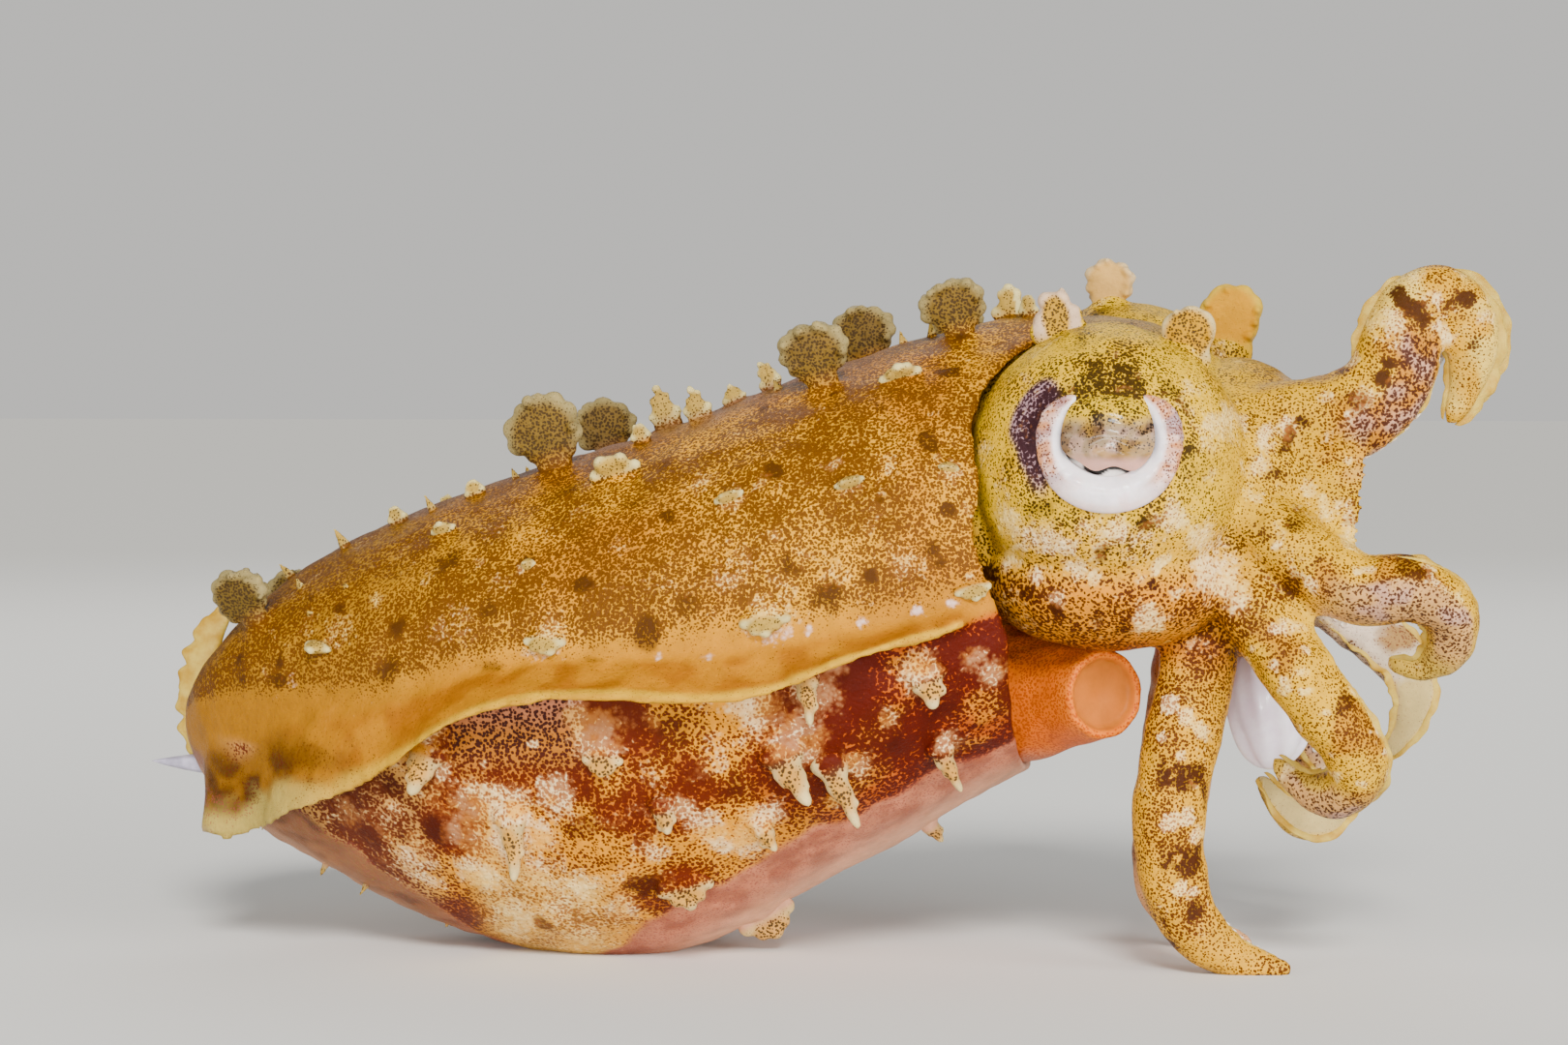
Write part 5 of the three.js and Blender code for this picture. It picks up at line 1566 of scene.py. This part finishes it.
mantle_forms = [mantle_cup(), fin(FIN_RIGHT, RIGHT), fin(FIN_LEFT, LEFT)]
for row in FANS + CRESTS + FLAPS:
    point, across, through, up, width, height = skin_axes(row)
    foot = mantle_frame(row[0], math.radians(row[1]))[2]
    mantle_forms.append(blob(point - foot * 0.25, (width * 0.36, width * 0.3, 0.65), (across, np.cross(across, foot), foot), 20, 12))
mantle_mesh = fuse(mantle_forms, MANTLE_GRID, 4)
co, facing = corners(mantle_mesh), outward(mantle_mesh)
swell = 0.22 * (grain(co, 3.2, 61, 2) - 0.5) + 0.1 * (grain(co, 1.1, 62) - 0.5)
co = co + facing * swell[:, None]
co = place_corners(mantle_mesh, co)
piece("mantle_skin", mantle_mesh, SKIN, "skin", "mantle", "fin_right", "fin_left", paint=bands(paint_mantle(co)))

head_mesh = fuse(head_flesh(), HEAD_GRID, 5)
co, facing = corners(head_mesh), outward(head_mesh)
swell = 0.16 * (grain(co, 2.6, 63, 2) - 0.5) + 0.08 * (grain(co, 1.0, 64) - 0.5)
co = sink_eyes(co + facing * swell[:, None])
co = place_corners(head_mesh, co)
piece("head_skin", head_mesh, SKIN, "skin", "head", *ARM_NODES, paint=bands(paint_head(co)))

fan_axes = [skin_axes(row) for row in FANS]
crest_axes = [skin_axes(row) for row in CRESTS + SPIKES]
flap_axes = [skin_axes(row) for row in FLAPS]
papilla_forms = []
for row in FANS:
    papilla_forms += fan(skin_axes(row), luck)
for row in CRESTS:
    papilla_forms += crest(skin_axes(row), luck)
for row in SPIKES:
    papilla_forms += spike(skin_axes(row), luck)
for row in FLAPS:
    lumpy = row[2] > 1.5 * row[3]
    papilla_forms += (crest if lumpy else flap)(skin_axes(row), luck)
papilla_mesh = fuse(papilla_forms, PAPILLA_GRID, 2)
drop_crumbs(papilla_mesh, LEAST_PAPILLA)
co = corners(papilla_mesh)
co = place_corners(papilla_mesh, co)
paint = paint_mantle(co)
paint = paint_papillae(paint, co, fan_axes, 0.6, 0.95, tint("5c4a1e"), tint("8e7e50"), 0.54)
paint = paint_papillae(paint, co, crest_axes, 0.5, 0.9, tint("a8893a"), tint("ccbc7c"), 0.35)
paint = paint_papillae(paint, co, flap_axes, 0.4, 1.0, tint("c08c3c"), tint("ccb478"), 0.5)
piece("mantle_papillae", papilla_mesh, SKIN, "skin", paint=bands(paint))

head_axes_all = [head_axes(row) for row in HEAD_FANS]
forms = []
for axes, look in zip(head_axes_all, HEAD_FAN_LOOKS):
    forms += fan(axes, luck, *look[:3])
forms += spike((*head_axes_all[0][:4], 3.2, 3.4), luck)
crown_mesh = fuse(forms, PAPILLA_GRID, 2)
co = corners(crown_mesh)
paint = paint_head(co)
for axes, look in zip(head_axes_all, HEAD_FAN_LOOKS):
    paint = paint_papillae(paint, co, [axes], 0.7, 0.98, tint(look[3]), tint(look[4]), look[5])
piece("head_papillae", crown_mesh, SKIN, "skin", paint=bands(paint))


# ---- Arm fringes and suckers ----

def fringe(name, degrees, start, end, width):
    """Thin membrane along an arm at some turn from its suckers, with a scalloped and waved edge"""
    shape, line = ARMS[name], ARM_RAILS[name]
    angle = math.radians(degrees)

    def rule(share, turn):
        along = start + (end - start) * share
        place, tangent, normal, lateral = along_rail(
            line, along, "place", "tangent", "normal", "lateral"
        )
        out = normal * math.cos(angle) + lateral * math.sin(angle)
        face = unit(np.cross(tangent, out))
        closed = np.sin(math.pi * share) ** 0.35
        far = 0.5 - 0.5 * np.cos(turn)
        run = along * line["length"]
        scallop = 0.86 + 0.2 * np.abs(np.sin(run * 1.9)) + 0.06 * np.sin(run * 6.7)
        reach = arm_radius(shape, along) * 0.8 + far * width * closed * scallop
        half = np.sin(turn) * closed * (0.3 - 0.17 * far)
        wave = 0.2 * width * np.sin(run * 2.7 + degrees) * far
        return place + out * reach[:, None] + face * (half + wave)[:, None]

    return form(14, 160, rule)


FRINGES = [
    ("1_right", -44, 0.2, 0.6, 0.8), ("1_right", 150, 0.44, 0.62, 0.9), (
        "1_right", 142, 0.7, 0.99, 1.0
    ),
    ("1_right", -40, 0.62, 0.99, 0.5), ("1_right", 62, 0.3, 0.99, 0.5),
    ("2_right", -62, 0.3, 0.99, 0.7), ("2_right", 62, 0.3, 0.99, 0.7), (
        "2_right", 100, 0.4, 0.8, 0.4
    ),
    ("3_right", -62, 0.3, 0.99, 0.7), ("3_right", 62, 0.3, 0.99, 0.7),
    ("4_right", -62, 0.22, 0.96, 0.4), ("4_right", 62, 0.22, 0.96, 0.4),
    ("1_left", -62, 0.35, 0.99, 0.8), ("1_left", 62, 0.35, 0.99, 0.8), (
        "1_left", -150, 0.5, 0.95, 0.9
    ),
    ("2_left", -62, 0.3, 0.99, 0.7), ("2_left", 62, 0.3, 0.99, 0.7),
    ("3_left", -62, 0.3, 0.99, 0.7), ("3_left", 62, 0.3, 0.99, 0.7),
    ("4_left", -62, 0.22, 0.96, 0.4), ("4_left", 62, 0.22, 0.96, 0.4),
]
fringe_material = membrane_material(
    "arm_fringe", tint("bca044"), tint("a47c1c"), 1.3, 0.5,
    Subsurface_Weight=0.25, Subsurface_Radius=(
        1.0, 0.8, 0.5
    ), Subsurface_Scale=0.0006, Specular_IOR_Level=0.15,
)
fringes = to_mesh(gather([fringe(*row) for row in FRINGES] + [tail_edge()]))
co = corners(fringes)
co = place_corners(fringes, co, ABOVE_FLOOR)
piece("fringes", fringes, fringe_material, "skin")


def sucker_cup(size):
    def rule(share, turn):
        level = np.interp(
            share, [0, 0.3, 0.55, 0.7, 0.85, 1], [0.25, 0.3, 0.75, 1.0, 0.5, -0.4]
        ) * size
        wide = np.interp(share, [0, 0.3, 0.55, 0.7, 0.85, 1], [0, 0.55, 0.72, 0.95, 0.9, 0]) * size
        return np.stack([wide * np.cos(turn), wide * np.sin(turn), level], 1)

    return form(8, 5, rule)


def sucker_rows():
    cups = []
    for name, shape in ARMS.items():
        line = ARM_RAILS[name]
        spacing = 0.66
        count = int(line["length"] * 0.68 / spacing)
        for i in range(count):
            share = 0.3 + 0.67 * i / count
            if share > {"2_left": 0.44, "3_left": 0.55}.get(name, 1):
                continue
            place, tangent, normal, lateral, bend = along_rail(
                line, share, "place", "tangent", "normal", "lateral", "bend"
            )
            radius = float(arm_radius(shape, share))
            for angle in ((-38, -12, 12, 38) if radius > 1.0 else (-22, 22)):
                stagger = 0.0 if angle in (-38, 12, -22) else 0.5 * spacing
                turn = math.radians(angle)
                out = normal * math.cos(turn) + lateral * math.sin(turn)
                limit = BEND_SHARE / max(float(bend @ out), 0.001)
                reach = min(float(arm_reach(shape, share, turn)), limit)
                size = max(0.1, 0.14 * radius)
                up = unit(out)
                across = unit(np.cross(tangent, up))
                spot = place + up * (reach - 0.05) + tangent * stagger
                turned = Matrix([list(across) + [0], list(np.cross(up, across)) + [0], list(up) + [0], [0, 0, 0, 1]]).transposed()
                cup = sucker_cup(size)
                bmesh.ops.transform(
                    cup, matrix=Matrix.Translation(Vector(spot)) @ turned, verts=cup.verts
                )
                cups.append(cup)
    return cups


sucker_material = membrane_material(
    "sucker_flesh", tint("e6d6c4"), tint("d6b9a0"), 0.5, 0.4,
    Subsurface_Weight=0.25, Subsurface_Radius=(
        1.0, 0.6, 0.5
    ), Subsurface_Scale=0.0005, Specular_IOR_Level=0.3,
)
suckers = to_mesh(gather(sucker_rows()))
co = corners(suckers)
co = place_corners(suckers, co, ABOVE_FLOOR)
piece("arm_suckers", suckers, sucker_material, "skin")


# ---- Eyes ----

def eye_surface(x, z, side, lift):
    """Place over the dome at x and z, moved outwards by lift"""
    x, z, lift = np.broadcast_arrays(*[np.asarray(v, float) for v in (x, z, lift)])
    (cx, cy, cz), (rx, ry, rz) = beside_head(EYE_DOME, side)
    raised = z + eye_rise(side)
    y = dome_depth(x, raised, side) * side
    normal = unit(np.stack([(x - cx) / rx**2, (y * side - abs(cy)) / ry**2 * side, (raised - cz) / rz**2], -1))
    return np.stack([x, y, raised], -1) + normal * lift[..., None]


def lower_lid(side):
    """Pale crescent round the lower part of the eye, sloping in to the globe"""

    def rule(share, turn):
        theta = np.radians(124 + 292 * share)
        down = rise(-np.sin(theta), 0.2, 1)
        middle_x = EYE_CENTRE[0] + 3.4 * np.cos(theta)
        middle_z = EYE_CENTRE[1] + 3.08 * np.sin(theta)
        ends = np.clip(np.sin(math.pi * share) * 3.0, 0, 1) ** 0.6
        wide = (0.74 + 0.3 * down) * ends
        inward = -np.stack([np.cos(theta), np.sin(theta)], 1)
        across = np.cos(turn)
        crease = 0.05 * np.sin(theta * 23 + 2 * np.sin(theta * 5)) * (1 - 0.8 * down) * (
            across < 0.6
        )
        x = middle_x + inward[:, 0] * across * wide
        z = middle_z + inward[:, 1] * across * wide
        crown = np.sin(turn) * (0.2 + 0.08 * down) * (1 - 0.25 * across)
        lift = 0.1 + crown + crease * (np.sin(turn) > 0) - 0.35 * rise(across, 0.2, 1.0)
        return eye_surface(x, z, side, lift * ends)

    return form(28, 150, rule)


PUPIL_MIDDLE, PUPIL_HALF = 33.93, 1.75


def pupil_height(x):
    """Height of the W-shaped pupil at x"""
    off = x - PUPIL_MIDDLE
    return 29.86 + 0.14 * np.cos(off * 2 * math.pi / 2.05) + 0.14 * (off / 1.7) ** 4


def eye_brow(side):
    """Mottled flap that hangs over the pupil, its lower edge following the W"""

    def rule(share, turn):
        reach = np.sin(math.pi * share)
        front = share < 0.5
        rim_x = EYE_CENTRE[0] - 0.05 + 2.62 * np.cos(turn)
        low = EYE_CENTRE[1] - 2.1 * np.abs(np.sin(turn))
        low = np.maximum(low, pupil_height(rim_x) + 0.05)
        rim_z = np.where(np.sin(turn) < 0, low, EYE_CENTRE[1] + 3.3 * np.sin(turn))
        x = EYE_CENTRE[0] + (rim_x - EYE_CENTRE[0]) * reach
        z = EYE_CENTRE[1] + (rim_z - EYE_CENTRE[1]) * reach
        bulge = 0.2 + 0.42 * (1 - reach**2)
        wrinkles = 0.05 * np.sin((z - EYE_CENTRE[1]) * 6 + np.sin(x * 2.2)) * (1 - reach**4)
        lift = np.where(front, bulge + wrinkles, -0.35)
        lift = lift - 0.6 * rise(z, EYE_CENTRE[1] + 1.6, EYE_CENTRE[1] + 3.2)
        return eye_surface(x, z, side, lift)

    return form(72, 48, rule)


def plain_paint(points, ground, tone, amount):
    """Paint with pigment dots but no marks"""
    none = np.zeros(len(points))
    return {"ground": ground, "tone": np.broadcast_to(tone, ground.shape), "pale": ground, "white": none,
            "dark": none, "amount": amount + none, "coarse": none, "worm": none}


def paint_lid(points, side):
    x, z = points[:, 0], points[:, 2] - eye_rise(side)
    theta = np.arctan2(z - EYE_CENTRE[1], x - EYE_CENTRE[0])
    reach = np.hypot((x - EYE_CENTRE[0]) / 4.2, (z - EYE_CENTRE[1]) / 4.0)
    mid, small = grain(points, 0.9, 71, 2), grain(points, 0.4, 74, 2)
    low = rise(-np.sin(theta), 0.4, 0.95)
    outer = rise(reach, 0.74, 0.82)
    side_skin = outer * (1 - low)
    colour = mix(np.broadcast_to(tint("ece2e4"), points.shape), tint("d49c80"), side_skin * (0.5 + 0.5 * mid))
    colour = mix(colour, tint("c07a40"), 0.8 * side_skin * rise(small, 0.42, 0.62))
    colour = mix(colour, tint("8d7078"), 0.7 * side_skin * fall(mid, 0.3, 0.5))
    # painted shade: greyer pink along the outer edge of the lid's lower part
    colour = mix(colour, tint("d8b8a8"), 0.6 * low * rise(reach, 0.86, 0.98))
    colour = mix(colour, tint("e3b7b0"), 0.4 * low * rise(mid, 0.5, 0.75))
    colour = mix(
        colour, tint("56566a"), 0.6 * fall(reach, 0.65, 0.69) * rise(np.sin(theta), -0.5, -0.1)
    )
    return plain_paint(points, colour, tint("5a3020"), 0.42 * side_skin)


def paint_brow(points, side):
    z = points[:, 2] - eye_rise(side) - EYE_CENTRE[1]
    mid, small = grain(points, 0.9, 72, 2), grain(points, 0.5, 73, 2)
    colour = mix(tint("8a7458"), tint("64492c"), rise(mid, 0.35, 0.7))
    colour = mix(colour, tint("b08c78"), 0.7 * rise(small, 0.5, 0.7))
    colour = mix(colour, tint("9c7420"), 0.5 * rise(grain(points, 0.8, 75, 2), 0.55, 0.7))
    colour = mix(colour, tint("bc8c7c"), rise(-z, 0.75, 1.3))
    high = rise(z, 0.7, 1.7)
    colour = mix(colour, mix(HEAD_YELLOW, OLIVE, 0.6), high)
    speckled = rise(z, -1.0, -0.5)
    amount = 0.26 * speckled + 0.16 * speckled * rise(mid, 0.4, 0.65) + 0.16 * high
    paint = plain_paint(points, colour, tint("23150d"), amount)
    paint["dark"] = 0.5 * np.exp(-(((z - 0.9) / 0.6) ** 2)) * rise(
        small, 0.35, 0.65
    ) + 0.4 * speckled * rise(small, 0.6, 0.8)
    return paint


def paint_globe(points, side):
    """White below the pupil, black in its slit and behind the flap"""
    x, z = points[:, 0], points[:, 2] - eye_rise(side)
    slit = pupil_height(x)
    narrow = 0.1 + 0.12 * rise(PUPIL_MIDDLE - x, 0.3, 1.0)
    white = rise(slit - narrow - z, 0, 0.06)
    white = np.maximum(
        white, rise(np.abs(x - PUPIL_MIDDLE), PUPIL_HALF, PUPIL_HALF + 0.12) * fall(z, 30.2, 30.6)
    )
    colour = mix(np.broadcast_to(tint("060403"), points.shape), tint("f2e8e2"), white)
    return plain_paint(points, colour, tint("060403"), 0.0)


LID_SKIN = skin_material("eyelid_skin", CHROMATOPHORES, translucency=0.2, relief=0.12)
GLOBE_SKIN = skin_material("eye_globe", CHROMATOPHORES, translucency=0.05, relief=0.02)
for material, coat in ((LID_SKIN, 0.25), (GLOBE_SKIN, 1.0)):
    gloss = material.node_tree.nodes["Principled BSDF"].inputs
    gloss["Coat Weight"].default_value = coat
    gloss["Coat Roughness"].default_value = 0.07

for side, word in ((RIGHT, "right"), (LEFT, "left")):
    globe = to_mesh(blob(*beside_head(EYE_GLOBE, side), around=160, rings=120))
    globe_paint = bands(paint_globe(corners(globe), side))
    piece(f"eye_{word}_globe", globe, GLOBE_SKIN, "eye", f"eye_{word}", paint=globe_paint)
    for label, maker, painter in (("lid", lower_lid, paint_lid), ("brow", eye_brow, paint_brow)):
        mesh = to_mesh(maker(side))
        piece(
            f"eye_{word}_{label}", mesh, LID_SKIN, "eye", paint=bands(painter(corners(mesh), side))
        )


# ---- Funnel, mouth membrane, cuttlebone ----

funnel_rail = rail(FUNNEL_PATH, (0, 0, 1), 80)
FUNNEL_DISH = 0.86


def funnel_form():
    """Fleshy tube with a thick rim and a shallow mouth"""

    def rule(share, turn):
        body = np.clip(share / FUNNEL_DISH, 0, 1)
        wide = np.interp(body, [0, 1 / 3, 2 / 3, 1], FUNNEL_RADII)
        wide = wide * np.clip(share * 14, 0, 1)
        dish = np.clip((share - FUNNEL_DISH) / (1 - FUNNEL_DISH), 0, 1)
        inner = np.interp(dish, [0, 0.12, 0.3, 0.45, 1], [1, 0.95, 0.82, 0.78, 0])
        depth = np.interp(dish, [0, 0.12, 0.3, 0.45, 1], [0, -0.18, -0.02, 0.45, 0.7])
        place, tangent, normal, lateral = along_rail(
            funnel_rail, body, "place", "tangent", "normal", "lateral"
        )
        out = normal * np.cos(turn)[:, None] + lateral * np.sin(turn)[:, None]
        wrinkle = 1 + 0.012 * np.sin(turn * 9 + body * 20)
        return place - tangent * depth[:, None] + out * (wide * inner * wrinkle)[:, None]

    return form(64, 120, rule)


funnel_mesh = fuse([funnel_form()], FUNNEL_GRID, 3)
co = corners(funnel_mesh)
(mouth_place, mouth_tangent) = along_rail(funnel_rail, 1.0, "place", "tangent")
ahead = (co - mouth_place) @ mouth_tangent
beside = np.linalg.norm(co - mouth_place - ahead[:, None] * mouth_tangent, axis=1)
in_mouth = rise(ahead, -1.0, -0.6) * fall(beside, 2.0, 2.3)
mid = grain(co, 1.5, 81, 2)
colour = mix(mix(FUNNEL_ORANGE, tint("d06000"), mid), tint("d87c18"), rise(ahead, -1.6, 0.2) * 0.5)
colour = mix(colour, tint("b07a5c"), rise(-co[:, 2], -13.2, -12.0) * 0.8)
colour = mix(colour, PEACH, in_mouth)
funnel_paint = plain_paint(co, colour, FUNNEL_DOT, 0.5 * (1 - in_mouth))
FUNNEL_SKIN = skin_material("funnel_skin", CHROMATOPHORES, translucency=0.3, relief=0.12)
piece("funnel_tube", funnel_mesh, FUNNEL_SKIN, "funnel_skin", "funnel", paint=bands(funnel_paint))


def mouth_form():
    (cx, cy, cz), (rx, ry, rz) = MOUTH

    def rule(share, turn):
        level, out = np.cos(math.pi * share), np.sin(math.pi * share)
        low = np.clip(-level, 0, 1)
        folds = 1 + 0.1 * low * np.cos(7 * turn) + 0.02 * np.sin(13 * turn + 5 * level)
        return np.stack([cx + rx * out * np.cos(turn) * folds, cy + ry * out * np.sin(turn) * folds, cz + rz * level], 1)

    return form(84, 60, rule)


mouth_material = membrane_material(
    "mouth_membrane", tint("faf0f8"), tint("ecdce8"), 2.2, 0.3,
    Subsurface_Weight=0.4, Subsurface_Radius=(
        0.9, 0.9, 1.0
    ), Subsurface_Scale=0.0015, Coat_Weight=0.3,
)
piece("mouth_membrane", to_mesh(mouth_form()), mouth_material, "membrane", "buccal_membrane")


def spine_form():
    length = SPINE_BASE_X - SPINE_TIP_X

    def rule(share, turn):
        wide = 0.75 * (1 - share) ** 0.85 * np.clip(share * 10 + 0.05, 0, 1) + 0.04 * np.sin(
            math.pi * share
        )
        ridges = 1 + 0.06 * np.cos(5 * turn)
        bow = 0.12 * share**2
        return np.stack(
            [SPINE_BASE_X - length * share, wide * ridges * np.cos(turn), SPINE_Z + bow + wide * ridges * np.sin(turn)], 1
        )

    return form(30, 40, rule)


bone_material = membrane_material(
    "cuttlebone", tint("b3adbf"), tint("8f8a9a"), 0.9, 0.45,
    Subsurface_Weight=0.4, Subsurface_Radius=(0.8, 0.8, 1.0), Subsurface_Scale=0.0008,
)
piece("cuttlebone_tip", to_mesh(spine_form()), bone_material, "bone", "cuttlebone_spine")


# ---- Stage, light and camera ----

def stage_floor():
    bm = bmesh.new()
    bmesh.ops.create_grid(bm, x_segments=1, y_segments=1, size=3.0)
    floor = bpy.data.objects.new("studio_floor", to_mesh(bm, "studio_floor"))
    bpy.context.scene.collection.objects.link(floor)
    material = plain_material("studio_floor", tint("e6e6e3"), 0.9, Specular_IOR_Level=0.0)[0]
    floor.data.materials.append(material)


# Name, place, aim, size and power
LIGHTS = [
    ("fill", (-0.3, -0.32, 0.12), (0.01, 0, 0.02), (0.3, 0.25), 0.8),
    ("front", (0.36, -0.22, 0.08), (0.03, 0, 0.02), (0.25, 0.2), 1.8),
    ("low", (0.06, -0.42, 0.02), (0.02, 0, 0.016), (0.4, 0.04), 1.6),
    ("back", (-0.05, 0.35, 0.3), (0.01, 0, 0.02), (0.3, 0.2), 0.5),
]


def soft_light(name, place, aim, size, power):
    lamp = bpy.data.lights.new(name, "AREA")
    lamp.shape = "RECTANGLE"
    lamp.size, lamp.size_y = size
    lamp.energy = power
    made = bpy.data.objects.new(name, lamp)
    made.location = place
    made.rotation_euler = (Vector(aim) - Vector(place)).to_track_quat("-Z", "Y").to_euler()
    bpy.context.scene.collection.objects.link(made)


def key_light(towards, breadth, strength):
    """Broad even light from above the camera"""
    lamp = bpy.data.lights.new("key", "SUN")
    lamp.angle = math.radians(breadth)
    lamp.energy = strength
    lamp.color = (1, 0.97, 0.92)
    made = bpy.data.objects.new("key", lamp)
    made.rotation_euler = Vector(towards).to_track_quat("-Z", "Y").to_euler()
    bpy.context.scene.collection.objects.link(made)


def photo_camera():
    """The photograph's viewpoint: from the right side, a little ahead and above"""
    azimuth, elevation, distance = math.radians(8.6), math.radians(2.0), 0.26
    forward = Vector((-math.sin(azimuth) * math.cos(elevation), math.cos(azimuth) * math.cos(elevation), -math.sin(elevation)))
    aim = Vector((0.0126, 0, 0.0262))
    lens = bpy.data.cameras.new("photo_camera")
    lens.sensor_width = 36.0
    lens.lens = 97.43
    lens.clip_start = 0.01
    camera = bpy.data.objects.new("photo_camera", lens)
    camera.location = aim - forward * distance
    camera.rotation_euler = forward.to_track_quat("-Z", "Y").to_euler()
    bpy.context.scene.collection.objects.link(camera)
    bpy.context.scene.camera = camera


stage_floor()
key_light((-0.22, 0.95, -0.6), 16, 4.1)
for row in LIGHTS:
    soft_light(*row)


def studio_air(seen, lighting):
    """Pale surroundings, a little brighter to the eye than as a light"""
    world = bpy.data.worlds.new("studio")
    world.use_nodes = True
    tree = world.node_tree
    path = add_node(tree, "LightPath")
    strength = add_node(tree, "Math", {"operation": "MULTIPLY_ADD"}, i0=path.outputs["Is Camera Ray"], i1=seen - lighting, i2=lighting)
    background = tree.nodes["Background"]
    background.inputs["Color"].default_value = (0.93, 0.915, 0.885, 1)
    tree.links.new(strength.outputs[0], background.inputs["Strength"])
    bpy.context.scene.world = world


studio_air(0.72, 0.25)
photo_camera()
